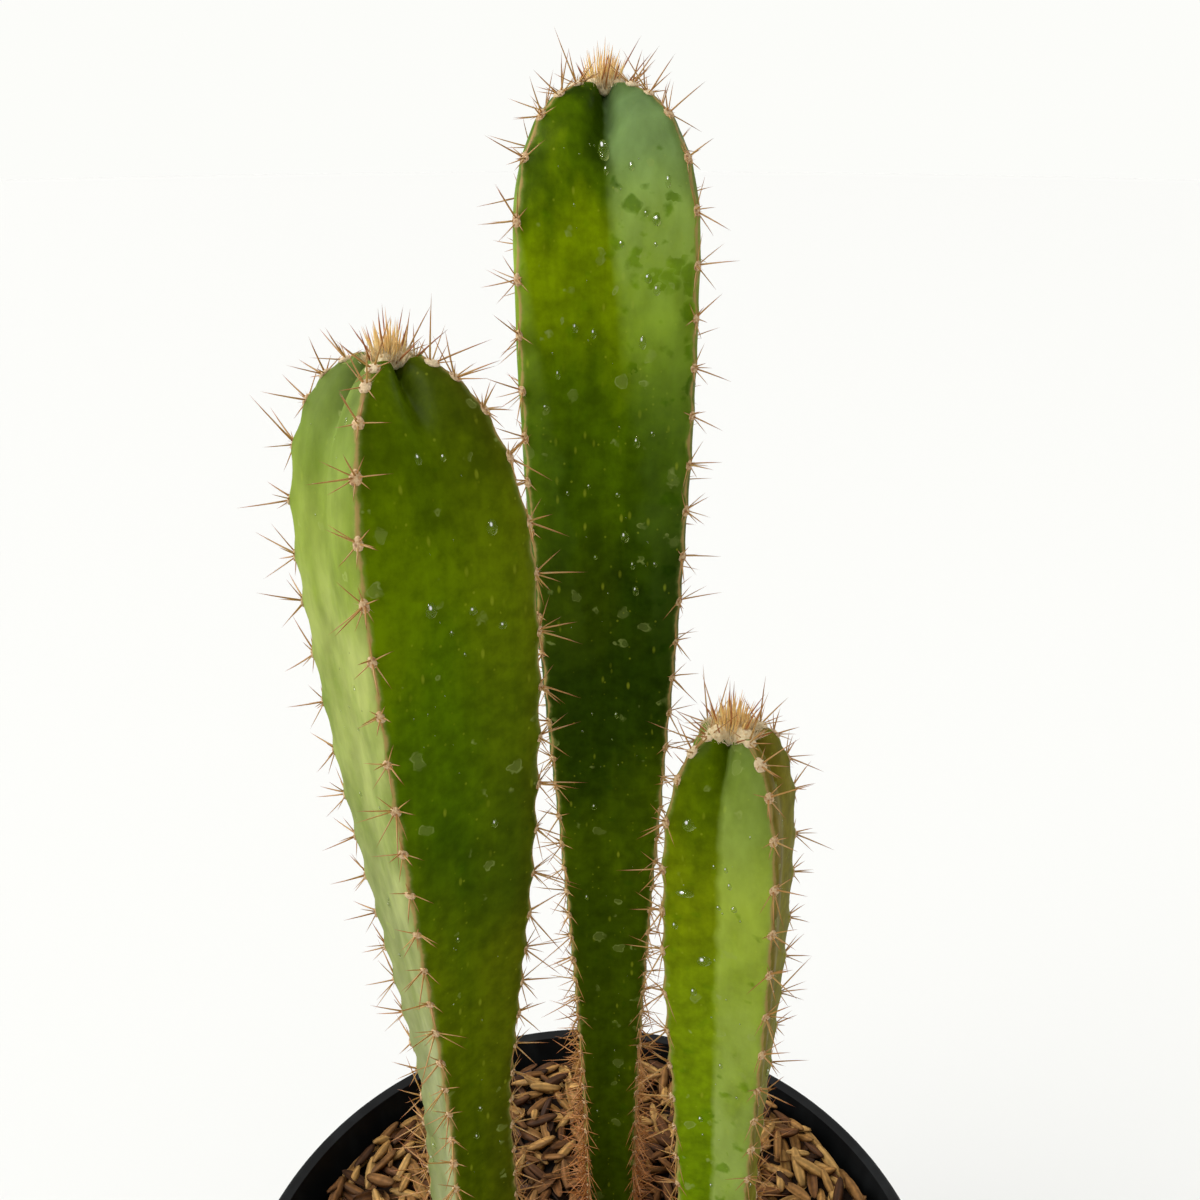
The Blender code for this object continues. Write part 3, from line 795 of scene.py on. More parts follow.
class GrowthTree(NodeWork):
    """A Geometry Nodes tree with named inputs that grows a finished mesh on a guide.

    A subclass lists its inputs by type and the guide's values that it reads, and adds its own
    nodes in shape().
    """

    title = "growth"
    chained = False
    sockets: dict[str, tuple[str, ...]] = {}
    reads: tuple[str, ...] = ()
    ways: tuple[str, ...] = ()

    def __init__(self) -> None:
        """Build the tree, from its guide to its realized and painted mesh."""
        self.tree = bpy.data.node_groups.new(self.title, "GeometryNodeTree")
        make = self.tree.interface.new_socket
        wanted = {"Geometry": ("Guide",), **self.sockets, "Material": ("Material",)}
        self.keys = {
            name: make(name, in_out="INPUT", socket_type="NodeSocket" + kind).identifier
            for kind, names in wanted.items()
            for name in names
        }
        make("Mesh", in_out="OUTPUT", socket_type="NodeSocketGeometry")
        self.given = self.tree.nodes.new("NodeGroupInput").outputs
        self.read = {
            name: self.add(Kind.READ, name, data_type=kind)
            for names, kind in ((self.reads, "FLOAT"), (self.ways, "FLOAT_VECTOR"))
            for name in names
        }
        soft = self.add(Kind.SMOOTH, self.add(Kind.REALIZE, self.shape()))
        self.add(Kind.OUTPUT, self.add(Kind.PAINT, soft, material=self.given["Material"]))

    def shape(self) -> Node:
        """Add the nodes that make the form, and return the last one."""
        raise NotImplementedError

    def chance(self, low: NodeInput, high: NodeInput, salt: int) -> Node:
        """Add an even random value from low to high for each point, with its own salt on the seed."""
        return self.add(Kind.RANDOM, low, high, seed=self.add(Kind.ADD, self.given["Seed"], float(salt)))

    def stand(self, mesh: Node, scale: Node) -> Node:
        """Stand a mesh on every guide point, facing outward with its Y along the crest.

        Args:
            mesh: What stands there.
            scale: Its size at each point.

        Returns:
            The node that holds the instances.
        """
        upright = self.add(Kind.ALIGN, vector=self.read["outward"], axis="Z")
        turn = self.add(Kind.ALIGN, rotation=upright, vector=self.read["along"], axis="Y", pivot_axis="Z")
        return self.add(Kind.STAND, self.given["Guide"], instance=mesh, rotation=turn, scale=scale)

    def ruffle(self, mesh: Node, form: str, level: float, detail: float) -> Node:
        """Push a surface in and out with noise.

        Args:
            mesh: The surface.
            form: The input that holds the height of the ruffles; "Size" beside it holds their width.
            level: The noise that leaves the surface where it is.
            detail: How fine the noise gets.

        Returns:
            The ruffled surface.
        """
        per_metre = self.add(Kind.DIVIDE, 1.0, self.given[form + " Size"])
        waves = self.add(Kind.NOISE, self.add(Kind.POSITION), scale=per_metre, detail=detail)
        height = self.add(Kind.MULTIPLY, self.add(Kind.SUBTRACT, waves, level), self.given[form])
        return self.add(Kind.MOVE, mesh, offset=self.add(Kind.SCALE, self.add(Kind.NORMAL), height))

    def grow(self, name: str, rows: list[Row], material: Material, **values: Any) -> Object:
        """Grow the mesh on guide points, as a plain object.

        Args:
            name: The new object's name.
            rows: The guide points.
            material: Its finish.
            values: The tree's named inputs, in lower case.

        Returns:
            An object at the origin with a plain mesh and no modifier.
        """
        guide = guide_mesh(name + "_guide", rows, self.chained)
        modifier = guide.modifiers.new("growth", "NODES")
        modifier.node_group = self.tree
        for label, value in {**values, "material": material}.items():
            modifier[self.keys[label.replace("_", " ").title()]] = value
        mesh = plain_mesh(guide)
        guide.modifiers.remove(modifier)
        bpy.data.objects.remove(guide, do_unlink=True)
        mesh.name = name
        return link_object(name, mesh)


class RibbedSkinTree(GrowthTree):
    """Sweeps a ribbed section along a centre line whose vertices carry the stem's sizes."""

    title = "ribbed skin"
    chained = True
    sockets = {
        "Object": ("Areoles",),
        "Int": ("Ring Points",),
        "Float": (
            "Squareness", "Turn", "Notch Fold", "Crowding", "Tubercle Height", "Tubercle Reach",
            "Cork Height", "Cork Reach", "Waviness", "Waviness Size",
        ),
    }
    reads = ("around", "crest", "sag", "groove", "fold", "ribbed", "round_share", "crest_gap")
    ways = ("middle",)

    def shape(self) -> Node:
        """Sweep the section, push it out to the ribs, then raise tubercles and cork.

        Returns:
            The skin.
        """
        sine = self.add(Kind.SINE, self.add(Kind.MULTIPLY, self.read["around"], 2.0))
        valley = self.add(Kind.MULTIPLY, sine, sine)
        turned = self.add(Kind.ADD, self.read["around"], self.given["Turn"])
        outward = self.add(Kind.COMBINE, self.add(Kind.COSINE, turned), self.add(Kind.SINE, turned))
        radius = self.add(Kind.MULTIPLY, self.read["crest"], self._share(valley))
        level = self.add(Kind.JOIN, self.read["middle"], self.add(Kind.SCALE, outward, radius))
        notch = self.add(Kind.POWER, valley, self.given["Notch Fold"])
        sunk = self.add(Kind.MULTIPLY, self.read["sag"], notch)
        point = self.add(Kind.JOIN, level, self.add(Kind.SCALE, (0.0, 0.0, -1.0), sunk))
        ribbed = self.add(Kind.MOVE, self._sweep(), position=point)
        return self.ruffle(self._raise_crests(ribbed, sine, outward), "Waviness", 0.5, 2.0)

    def _sweep(self) -> Node:
        """Sweep a plain ring whose points remember their turn round the stem.

        Returns:
            The tube, with most of its points near the crests and valleys.
        """
        count = self.given["Ring Points"]
        ring = self.add(Kind.RING, resolution=count, radius=MM)
        even = self.add(Kind.MULTIPLY, self.add(Kind.DIVIDE, self.add(Kind.INDEX), count), math.tau)
        wave = self.add(Kind.SINE, self.add(Kind.MULTIPLY, even, 8.0))
        angle = self.add(Kind.SUBTRACT, even, self.add(Kind.MULTIPLY, wave, self.given["Crowding"]))
        marked = self.add(Kind.STORE, ring, name="around", value=angle)
        return self.add(Kind.SWEEP, self.add(Kind.TO_CURVE, self.given["Guide"]), marked, fill_caps=True)

    def _share(self, valley: Node) -> Node:
        """Radius of the section as a share of the crest radius: a soft square with valleys.

        Args:
            valley: 0 on a crest and 1 in the middle of a valley.

        Returns:
            The share.
        """
        power = self.given["Squareness"]
        tilt = self.add(Kind.SUBTRACT, math.pi / 4, self.read["around"])
        parts = [
            self.add(Kind.POWER, self.add(Kind.ABSOLUTE, self.add(kind, tilt)), power)
            for kind in (Kind.COSINE, Kind.SINE)
        ]
        half = self.add(Kind.MULTIPLY, self.add(Kind.ADD, *parts), 0.5)
        square = self.add(Kind.POWER, half, self.add(Kind.DIVIDE, -1.0, power))
        unit = self.add(Kind.MULTIPLY, square, math.sqrt(0.5))
        fold = self.add(Kind.POWER, valley, self.read["fold"])
        section = self.add(Kind.SUBTRACT, unit, self.add(Kind.MULTIPLY, self.read["groove"], fold))
        return self.add(Kind.BLEND, self.read["ribbed"], self.read["round_share"], section)

    def _raise_crests(self, skin: Node, sine: Node, outward: Node) -> Node:
        """Raise a low tubercle under each areole and a fine corky ridge between them.

        Args:
            skin: The ribbed skin.
            sine: Sine of twice the angle from the first crest.
            outward: Level direction from the axis.

        Returns:
            The raised skin.
        """
        areoles = self.add(Kind.OBJECT, self.given["Areoles"]).outputs["Geometry"]
        near = self.add(Kind.NEAREST, areoles, target_element="POINTS").outputs["Distance"]
        turn = self.add(Kind.ARCSINE, self.add(Kind.ABSOLUTE, sine))
        gap = self.add(Kind.MULTIPLY, self.add(Kind.MULTIPLY, turn, 0.5), self.read["crest"])
        marked = self.add(Kind.STORE, skin, name="crest_gap", value=gap)
        forms = []
        for away, form in ((near, "Tubercle"), (self.read["crest_gap"], "Cork")):
            ends = self.given[form + " Reach"], self.given[form + " Height"], 0.0
            forms.append(self.add(Kind.REMAP, away, 0.0, *ends, interpolation_type="SMOOTHSTEP"))
        lift = self.add(Kind.MULTIPLY, self.add(Kind.ADD, *forms), self.read["ribbed"])
        return self.add(Kind.MOVE, marked, offset=self.add(Kind.SCALE, outward, lift))


class NeedleTree(GrowthTree):
    """Grows a cluster of tapered needles on each guide point."""

    title = "needle clusters"
    sockets = {
        "Int": ("Count", "Sides", "Seed"),
        "Float": ("Length", "Length Spread", "Radius", "Lean Low", "Lean High", "Bend", "Root Spread"),
    }
    reads = ("crowd", "needles", "spin", "reach", "tip")
    ways = ("outward", "along")

    def shape(self) -> Node:
        """Copy each point once for each needle, and stand a needle on each copy.

        Returns:
            The needles.
        """
        outward, along = self.read["outward"], self.read["along"]
        usual = self.add(Kind.MULTIPLY, self.given["Count"], self.read["crowd"])
        count = self.add(Kind.ROUND, self.add(Kind.MULTIPLY, usual, self.chance(0.78, 1.22, 6)))
        counted = self.add(Kind.STORE, self.given["Guide"], name="needles", value=count)
        copies = self.add(Kind.REPEAT, counted, amount=self.read["needles"])
        place = self.add(Kind.ADD, copies.outputs["Duplicate Index"], self.chance(0.15, 0.85, 1))
        share = self.add(Kind.DIVIDE, place, self.read["needles"])
        angle = self.add(Kind.MULTIPLY_ADD, share, math.tau, self.read["spin"])
        up = self.add(Kind.SCALE, along, self.add(Kind.COSINE, angle))
        across = self.add(Kind.CROSS, outward, along)
        flat = self.add(Kind.JOIN, up, self.add(Kind.SCALE, across, self.add(Kind.SINE, angle)))
        lean = self.chance(self.given["Lean Low"], self.given["Lean High"], 2)
        stem = self.add(Kind.SCALE, outward, self.add(Kind.COSINE, lean))
        way = self.add(Kind.JOIN, stem, self.add(Kind.SCALE, flat, self.add(Kind.SINE, lean)))
        stray = self.add(Kind.MULTIPLY, self.given["Root Spread"], self.chance(0.3, 1.0, 3))
        roots = self.add(Kind.MOVE, copies, offset=self.add(Kind.SCALE, flat, stray))
        ends = [self.add(kind, 1.0, self.given["Length Spread"]) for kind in (Kind.SUBTRACT, Kind.ADD)]
        usual = self.add(Kind.MULTIPLY, self.given["Length"], self.read["reach"])
        length = self.add(Kind.MULTIPLY, usual, self.chance(*ends, 4))
        scale = self.add(Kind.COMBINE, self.given["Radius"], self.given["Radius"], length)
        turn = self.add(Kind.ALIGN, vector=way, axis="Z")
        standing = self.add(Kind.STAND, roots, instance=self._needle(), rotation=turn, scale=scale)
        return self.add(Kind.STORE, standing, name="tint", value=self.chance(0.0, 1.0, 5), domain="INSTANCE")

    def _needle(self) -> Node:
        """One needle of unit length and radius, full near its root and drawn to a point.

        Returns:
            The needle, upright.
        """
        sizes = dict(side_segments=3, radius_top=0.0, radius_bottom=1.0, depth=1.0)
        cone = self.add(Kind.CONE, vertices=self.given["Sides"], **sizes)
        place = self.add(Kind.POSITION)
        marked = self.add(Kind.STORE, cone, name="tip", value=self.add(Kind.SPLIT, place).outputs["Z"])
        left = self.add(Kind.MAXIMUM, self.add(Kind.SUBTRACT, 1.0, self.read["tip"]), 0.02)
        fuller = self.add(Kind.POWER, left, -0.42)
        point = self.add(Kind.STRETCH, place, self.add(Kind.COMBINE, fuller, fuller, 1.0))
        sway = self.add(Kind.MULTIPLY, self.add(Kind.POWER, self.read["tip"], 2.0), self.given["Bend"])
        return self.add(Kind.MOVE, marked, position=self.add(Kind.JOIN, point, self.add(Kind.COMBINE, sway)))


class PadTree(GrowthTree):
    """Seats a felted pad, narrower towards the apex, on each guide point."""

    title = "areole pads"
    sockets = {"Float": ("Width", "Height", "Fluff", "Fluff Size"), "Int": ("Seed",)}
    reads = ("pad",)
    ways = ("outward", "along")

    def shape(self) -> Node:
        """Seat the pads, then ruffle their surface.

        Returns:
            The pads.
        """
        ball = self.add(Kind.EVEN_BALL, radius=1.0, subdivisions=3)
        place = self.add(Kind.POSITION)
        high = self.add(Kind.SPLIT, place).outputs["Y"]
        taper = self.add(Kind.COMBINE, self.add(Kind.REMAP, high, -1.0, 1.0, 1.15, 0.7), 1.0, 1.0)
        egg = self.add(Kind.MOVE, ball, position=self.add(Kind.STRETCH, place, taper))
        width = self.add(Kind.MULTIPLY, self.given["Width"], self.read["pad"])
        wide = self.add(Kind.MULTIPLY, width, self.chance(0.85, 1.12, 1))
        tall = self.add(Kind.MULTIPLY, width, self.chance(1.0, 1.3, 2))
        seated = self.stand(egg, self.add(Kind.COMBINE, wide, tall, self.given["Height"]))
        return self.ruffle(self.add(Kind.REALIZE, seated), "Fluff", 0.4, 3.0)


class DropTree(GrowthTree):
    """Hangs a flattened water drop on each guide point, heavier towards its lower end."""

    title = "dew drops"
    sockets = {"Float": ("Flatness", "Sag"), "Int": ("Seed",)}
    reads = ("size", "stretch")
    ways = ("outward", "along")

    def shape(self) -> Node:
        """Shape one drop and set it on every point.

        Returns:
            The drops.
        """
        ball = self.add(Kind.BALL, segments=16, rings=9, radius=1.0)
        place = self.add(Kind.POSITION)
        # the drop's own coordinates, which place its painted highlight and painted caustic
        marked = self.add(Kind.STORE_WAY, ball, name="local", value=place)
        high = self.add(Kind.SPLIT, place).outputs["Y"]
        narrow = self.add(Kind.REMAP, high, -1.0, 1.0, 1.0, self.given["Sag"])
        heavy = self.add(Kind.STRETCH, place, self.add(Kind.COMBINE, narrow, 1.0, narrow))
        factors = self.chance(0.8, 1.1, 1), self.read["stretch"], self.given["Flatness"]
        sizes = [self.add(Kind.MULTIPLY, self.read["size"], factor) for factor in factors]
        return self.stand(self.add(Kind.MOVE, marked, position=heavy), self.add(Kind.COMBINE, *sizes))


class HuskTree(GrowthTree):
    """Strews boat-shaped rice husks, each turned, tipped and sometimes upside down."""

    title = "rice husks"
    sockets = {
        "Float": ("Length", "Width", "Depth", "Tilt", "Bend", "Size Low", "Size High"),
        "Int": ("Seed",),
    }
    reads = ("yaw",)

    def shape(self) -> Node:
        """Lay a husk on each guide point.

        Returns:
            The husks.
        """
        back = self.add(Kind.MULTIPLY, self.given["Tilt"], -1.0)
        flip = self.add(Kind.OVER, self.chance(0.0, 1.0, 1), 0.62)
        roll, pitch = (self.chance(back, self.given["Tilt"], salt) for salt in (2, 3))
        rolled = self.add(Kind.MULTIPLY_ADD, flip, math.pi, roll)
        turn = self.add(Kind.COMBINE, rolled, pitch, self.read["yaw"])
        size = self.chance(self.given["Size Low"], self.given["Size High"], 4)
        laid = self.add(Kind.STAND, self.given["Guide"], instance=self._husk(), rotation=turn, scale=size)
        return self.add(Kind.STORE, laid, name="tint", value=self.chance(0.0, 1.0, 5), domain="INSTANCE")

    def _husk(self) -> Node:
        """One husk: a pointed boat with a hollow under it.

        Returns:
            The husk, along X.
        """
        ball = self.add(Kind.BALL, segments=8, rings=6, radius=1.0)
        husk = self.add(Kind.TURN, ball, rotation=(0.0, QUARTER, 0.0))
        x, y, z = self.add(Kind.SPLIT, self.add(Kind.POSITION)).outputs
        for name, way in (("lengthwise", x), ("across", y)):
            husk = self.add(Kind.STORE, husk, name=name, value=way)
        shell = self.add(Kind.MAXIMUM, z, self.add(Kind.MULTIPLY, z, -0.55))
        deep = self.add(Kind.MULTIPLY, shell, self.given["Depth"])
        high = self.add(Kind.MULTIPLY_ADD, self.add(Kind.POWER, x, 2.0), self.given["Bend"], deep)
        long = self.add(Kind.MULTIPLY, x, self.given["Length"])
        wide = self.add(Kind.MULTIPLY, y, self.given["Width"])
        return self.add(Kind.MOVE, husk, position=self.add(Kind.COMBINE, long, wide, high))


# Sub-assemblies


@dataclass(frozen=True)
class NeedleHabit:
    """How many needles a point bears, and how they stand.

    Leans are degrees from outward, and the bend of the point is in radii.
    """

    count: int
    length: float
    length_spread: float
    radius: float
    lean_low: float
    lean_high: float
    root_spread: float
    sides: int = 5
    bend: float = 1.6

    def values(self) -> dict[str, float]:
        """The named inputs of the needle tree, with the leans in radians."""
        leans = {name: math.radians(getattr(self, name)) for name in ("lean_low", "lean_high")}
        return {**asdict(self), **leans}


class Needle(Enum):
    """Kinds of needle on the plant."""

    # Count, length, its spread, radius, lowest and highest lean, spread of the roots, sides
    RADIAL = NeedleHabit(5, 3.8 * MM, 0.42, 0.115 * MM, 46, 84, 0.42 * MM)
    CENTRAL = NeedleHabit(2, 5.9 * MM, 0.34, 0.155 * MM, 12, 56, 0.3 * MM)
    WOOL = NeedleHabit(12, 0.8 * MM, 0.4, 0.04 * MM, 20, 88, 0.5 * MM, 3)
    YOUNG = NeedleHabit(1, 5.0 * MM, 0.3, 0.16 * MM, 0, 15, 0.1 * MM, 4)
    GUARD = NeedleHabit(1, 6.8 * MM, 0.32, 0.165 * MM, 0, 24, 0.1 * MM)
    CUSHION = NeedleHabit(7, 2.1 * MM, 0.4, 0.07 * MM, 0, 38, 0.5 * MM, 3)


class Workshop:
    """Trees and finishes that the sub-assemblies share."""

    def __init__(self) -> None:
        """Build them all."""
        self.skins, self.needles, self.pads = RibbedSkinTree(), NeedleTree(), PadTree()
        self.drops, self.husks = DropTree(), HuskTree()
        self.felt = AreoleFelt().build()
        self.wool = AreoleFelt("crown_wool", "#fbeac2", "#ecd09a", "#d8b070").build()
        self.water = DewWater().build()
        # Colours of root, shaft, point and pale shaft
        self.horn = SpineHorn("brown_spine_horn", "#a86c3e", "#b28348", "#8e4020", "#c6a05c").build()
        self.guard = SpineHorn("red_brown_spine_horn", "#c08a4c", "#a4602e", "#7c3418", "#ba8246").build()
        self.gold = SpineHorn("golden_spine_horn", "#fff0c4", "#ffd98a", "#cc8444", "#ffebb2").build()


@dataclass
class Stem:
    """One ribbed stem with its areoles, spines, crown and dew.

    Heights given as fields are above the pot's rim, and the turn is in degrees. The sizes are
    those of the stem's solid.
    """

    key: str
    foot: tuple[float, float]
    lean: float
    lean_power: float
    apex: float
    widest: float
    narrowest: float
    taper_from: float
    taper_to: float
    taper_power: float
    dome: float
    dome_power: float
    turn: float
    crown_scale: float
    seed: int
    skin: CactusSkin
    drops: int
    large_drops: tuple[tuple[float, float, float, float], ...] = ()  # degrees, mm, mm, stretch
    tuft: float = 1.0
    shaggy: float = 2.4
    squareness: float = 9.0
    groove_shaft: float = 0.055
    groove_apex: float = 0.17
    groove_fold: float = 1.8
    crack_fold: float = 7.0
    crack_length: float = 6 * MM
    notch_fold: float = 4.0
    foot_share: float = 0.86
    level_step: float = 1.0 * MM
    dome_levels: int = 30
    ring_points: int = 104
    first_pitch: float = 4.6 * MM
    early_pitches: tuple[float, ...] = (3.6 * MM, 5.2 * MM, 6.8 * MM)
    pitch_top: float = 8.3 * MM
    pitch_base: float = 3.9 * MM
    tubercle: float = 0.55 * MM

    @property
    def top(self) -> float:
        """Height of the apex over the ground."""
        return POT_HEIGHT + self.apex

    @property
    def dish(self) -> float:
        """Radius of the dish in the apex."""
        return 4.2 * MM * self.crown_scale

    def crest_radius(self, height: float) -> float:
        """Distance from the axis to the rib crests.

        Args:
            height: Height over the ground.

        Returns:
            The distance.
        """
        t = clamp((height - POT_HEIGHT - self.taper_from) / (self.taper_to - self.taper_from))
        radius = mix(self.narrowest, self.widest, smooth(t ** self.taper_power))
        up = clamp((height - (self.top - self.dome)) / self.dome)
        return radius * (1 - up ** self.dome_power) ** (1 / self.dome_power)

    def crack(self, height: float) -> float:
        """How far the valleys are drawn in as cracks: 1 just under the apex and 0 down the shaft."""
        below = self.top - height
        return smooth(below / (2.5 * MM)) * (1 - smooth((below - 2.5 * MM) / self.crack_length))

    def groove(self, height: float) -> float:
        """Depth of the valleys between the ribs, as a share of the crest radius."""
        return self.groove_shaft + self.groove_apex * self.crack(height)

    def fold(self, height: float) -> float:
        """How narrow the valleys are: the power of their profile."""
        return mix(self.groove_fold, self.crack_fold, self.crack(height))

    def rise(self, height: float) -> float:
        """Height as a share of the way from the husks to the apex."""
        return clamp((height - HUSK_TOP) / (self.top - HUSK_TOP))

    def middle(self, height: float) -> Vector:
        """Point of the axis at a height."""
        return Vector((self.foot[0] + self.lean * self.rise(height) ** self.lean_power, self.foot[1], height))

    def sag(self, height: float) -> float:
        """How far the valleys hang below the crests near the apex."""
        return 3.2 * MM * self.crown_scale * smooth((height - self.top + 13 * MM) / (11 * MM))

    def way(self, angle: float) -> Vector:
        """Level direction at an angle from the first crest."""
        a = angle + math.radians(self.turn) - QUARTER
        return Vector((math.cos(a), math.sin(a), 0))

    def point(self, angle: float, height: float) -> Vector:
        """Point of the skin, with its valley hung down.

        Args:
            angle: Angle from the first crest.
            height: Height over the ground.

        Returns:
            The point.
        """
        tilt = math.pi / 4 - angle
        total = abs(math.cos(tilt)) ** self.squareness + abs(math.sin(tilt)) ** self.squareness
        square = (total / 2) ** (-1 / self.squareness) * math.sqrt(0.5)
        valley = abs(math.sin(2 * angle))
        share = square - self.groove(height) * valley ** (2 * self.fold(height))
        level = self.middle(height) + self.way(angle) * self.crest_radius(height) * share
        return level - Vector((0, 0, self.sag(height) * valley ** (2 * self.notch_fold)))

    def normal(self, angle: float, height: float) -> Vector:
        """Outward normal of the skin.

        Args:
            angle: Angle from the first crest.
            height: Height over the ground.

        Returns:
            The unit normal.
        """
        step, rise = 0.01, 0.3 * MM
        across = self.point(angle + step, height) - self.point(angle - step, height)
        up = self.point(angle, height + rise) - self.point(angle, height - rise)
        return across.cross(up).normalized()

    def dress(self, workshop: Workshop) -> list[Object]:
        """Build every piece of the stem.

        Args:
            workshop: The shared trees and finishes.

        Returns:
            The finished pieces.
        """
        self.workshop = workshop
        areoles = self._areoles()
        skin = self._skin(areoles)
        felt = [self._pads(areoles), self._needles("wool", areoles, Needle.WOOL, 1, workshop.felt)]
        kinds = enumerate((Needle.RADIAL, Needle.CENTRAL), 2)
        spines = [self._needles("spines", areoles, kind, salt, workshop.horn) for salt, kind in kinds]
        pieces = [skin, merge_meshes("areoles_" + self.key, felt), merge_meshes("spines_" + self.key, spines)]
        for piece in pieces:
            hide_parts("stem_" + self.key)
        crown = self._crown()
        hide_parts("crown_" + self.key)
        dew = self._dew()
        return pieces + [crown, dew]

    def _levels(self) -> list[Row]:
        """Rows of the centre line, from the foot over the dome into the dish of the apex.

        Returns:
            The rows, each with the sizes of the section at its height.
        """
        bottom, start, end = HUSK_TOP - ROOT_DEPTH, HUSK_TOP - HUSK_DEPTH, self.top - self.dome
        count = round((end - start) / self.level_step)
        heights = [bottom, bottom + 1 * MM, *(mix(start, end, i / count) for i in range(count + 1))]
        share = (1 - ((self.dish + 1.1 * MM) / self.widest) ** self.dome_power) ** (1 / self.dome_power)
        last = math.asin(share ** (self.dome_power / 2))
        for i in range(1, self.dome_levels + 1):
            up = math.sin(last * i / self.dome_levels) ** (2 / self.dome_power)
            heights.append(self.top - self.dome * (1 - up))
        rows = [self._row(height, self.crest_radius(height)) for height in heights]
        rows.append(self._row(self.top - 0.1 * MM, self.dish + 0.4 * MM, 0.95))
        # Steps down the dish: depth in mm, share of its radius, how much of the ribs is left
        for depth, width, ribbed in ((0.7, 0.9, 0.8), (1.2, 0.7, 0.55), (1.5, 0.45, 0.25), (1.6, 0.15, 0.0)):
            rows.append(self._row(self.top - depth * MM, self.dish * width, ribbed))
        return rows

    def _row(self, height: float, crest: float, dished: float | None = None) -> Row:
        """One vertex of the centre line with the sizes of its section.

        Args:
            height: Its height over the ground.
            crest: Radius of the crests there.
            dished: In the dish of the apex, how much of the ribs is left.

        Returns:
            The row.
        """
        ribbed = smooth((height - HUSK_TOP + HUSK_DEPTH) / (6 * MM)) if dished is None else dished
        return {
            "place": self.middle(height),
            "middle": self.middle(height),
            "crest": crest,
            "groove": self.groove(height),
            "fold": self.fold(height),
            "ribbed": ribbed,
            "round_share": 1.0 if self.top - height < self.dome else self.foot_share,
            "sag": self.sag(height) * (1.0 if dished is None else dished),
            "rise": self.rise(height),
        }

    def _areoles(self) -> list[Row]:
        """Rows for the areoles: crowded by the crown, wide apart above and close at the foot.

        Returns:
            The rows, rib by rib from the apex down.
        """
        rng = random.Random(self.seed)
        trace = self._crest_trace()
        rows = []
        for rib in range(4):
            side = self.way(rib * QUARTER)
            travelled = 0.0
            due = self.first_pitch * self.crown_scale + rng.uniform(0, 1.2) * MM
            early = list(self.early_pitches)
            for (h0, r0), (h1, r1) in zip(trace, trace[1:]):
                travelled += math.hypot(h1 - h0, r1 - r0)
                if travelled < due or h1 < HUSK_TOP - 1 * MM:
                    continue
                tangent = Vector((r1 - r0, h1 - h0)).normalized()
                share = self.rise(h1)
                age = 1 - smooth((h1 - HUSK_TOP - 12 * MM) / (80 * MM))
                youth = 1 - smooth((travelled - 4.5 * MM) / (9 * MM))
                rows.append(
                    {
                        "place": self.middle(h1) + side * (r1 + self.tubercle * 0.75),
                        "outward": side * -tangent.y + UP * tangent.x,
                        "along": side * -tangent.x - UP * tangent.y,
                        "spin": rng.uniform(0, math.tau),
                        "reach": (mix(1.0, 1.12, age) + 0.16 * youth) * rng.uniform(0.82, 1.18),
                        "pad": mix(0.9, 1.15, share) * (1 + 0.2 * youth),
                        "crowd": mix(1.0, self.shaggy, age) - 0.2 * youth,
                        "age": 0.8 * age,
                        "youth": 0.7 * youth,
                    }
                )
                pitch = mix(self.pitch_base, self.pitch_top, smooth(share * 1.15))
                due += (early.pop(0) if early else pitch) * rng.uniform(0.93, 1.07)
        return rows

    def _crest_trace(self) -> list[tuple[float, float]]:
        """Height and radius along a crest from the apex to the soil, in short steps.

        Returns:
            The pairs.
        """
        ups = [math.cos(QUARTER * i / 60) ** (2 / self.dome_power) for i in range(60)]
        heights = [self.top - self.dome * (1 - up) for up in ups]
        height = self.top - self.dome
        while height > HUSK_TOP - 3 * MM:
            heights.append(height)
            height -= 0.25 * MM
        return [(height, self.crest_radius(height)) for height in heights]

    def _skin(self, areoles: list[Row]) -> Object:
        """Sweep the ribbed skin.

        Args:
            areoles: Where tubercles rise.

        Returns:
            The skin.
        """
        targets = guide_mesh(self.key + "_areoles", areoles)
        skin = self.workshop.skins.grow(
            "skin_" + self.key,
            self._levels(),
            self.skin.build(),
            areoles=targets,
            ring_points=self.ring_points,
            squareness=self.squareness,
            turn=math.radians(self.turn) - QUARTER,
            notch_fold=self.notch_fold,
            crowding=0.08,
            tubercle_height=self.tubercle,
            tubercle_reach=3.4 * MM,
            cork_height=0.14 * MM,
            cork_reach=0.8 * MM,
            waviness=0.5 * MM,
            waviness_size=16 * MM,
        )
        bpy.data.objects.remove(targets, do_unlink=True)
        face_outward(skin.data)
        return skin

    def _pads(self, areoles: list[Row]) -> Object:
        """Felted pads of the areoles."""
        sizes = dict(width=0.7 * MM, height=0.36 * MM, fluff=0.5 * MM, fluff_size=0.6 * MM, seed=self.seed)
        return self.workshop.pads.grow("pads_" + self.key, areoles, self.workshop.felt, **sizes)

    def _needles(self, name: str, rows: list[Row], needle: Needle, salt: int, finish: Material) -> Object:
        """One kind of needle on guide points, with its own salt on the stem's seed."""
        values = needle.value.values()
        return self.workshop.needles.grow(name, rows, finish, seed=self.seed + salt, **values)

    def _crown(self) -> Object:
        """Golden tuft of young spines in cream wool, with brown spines round it.

        Returns:
            The crown.
        """
        base = self.middle(self.top - 1.2 * MM)
        radius = self.dish * self.tuft
        parts = []
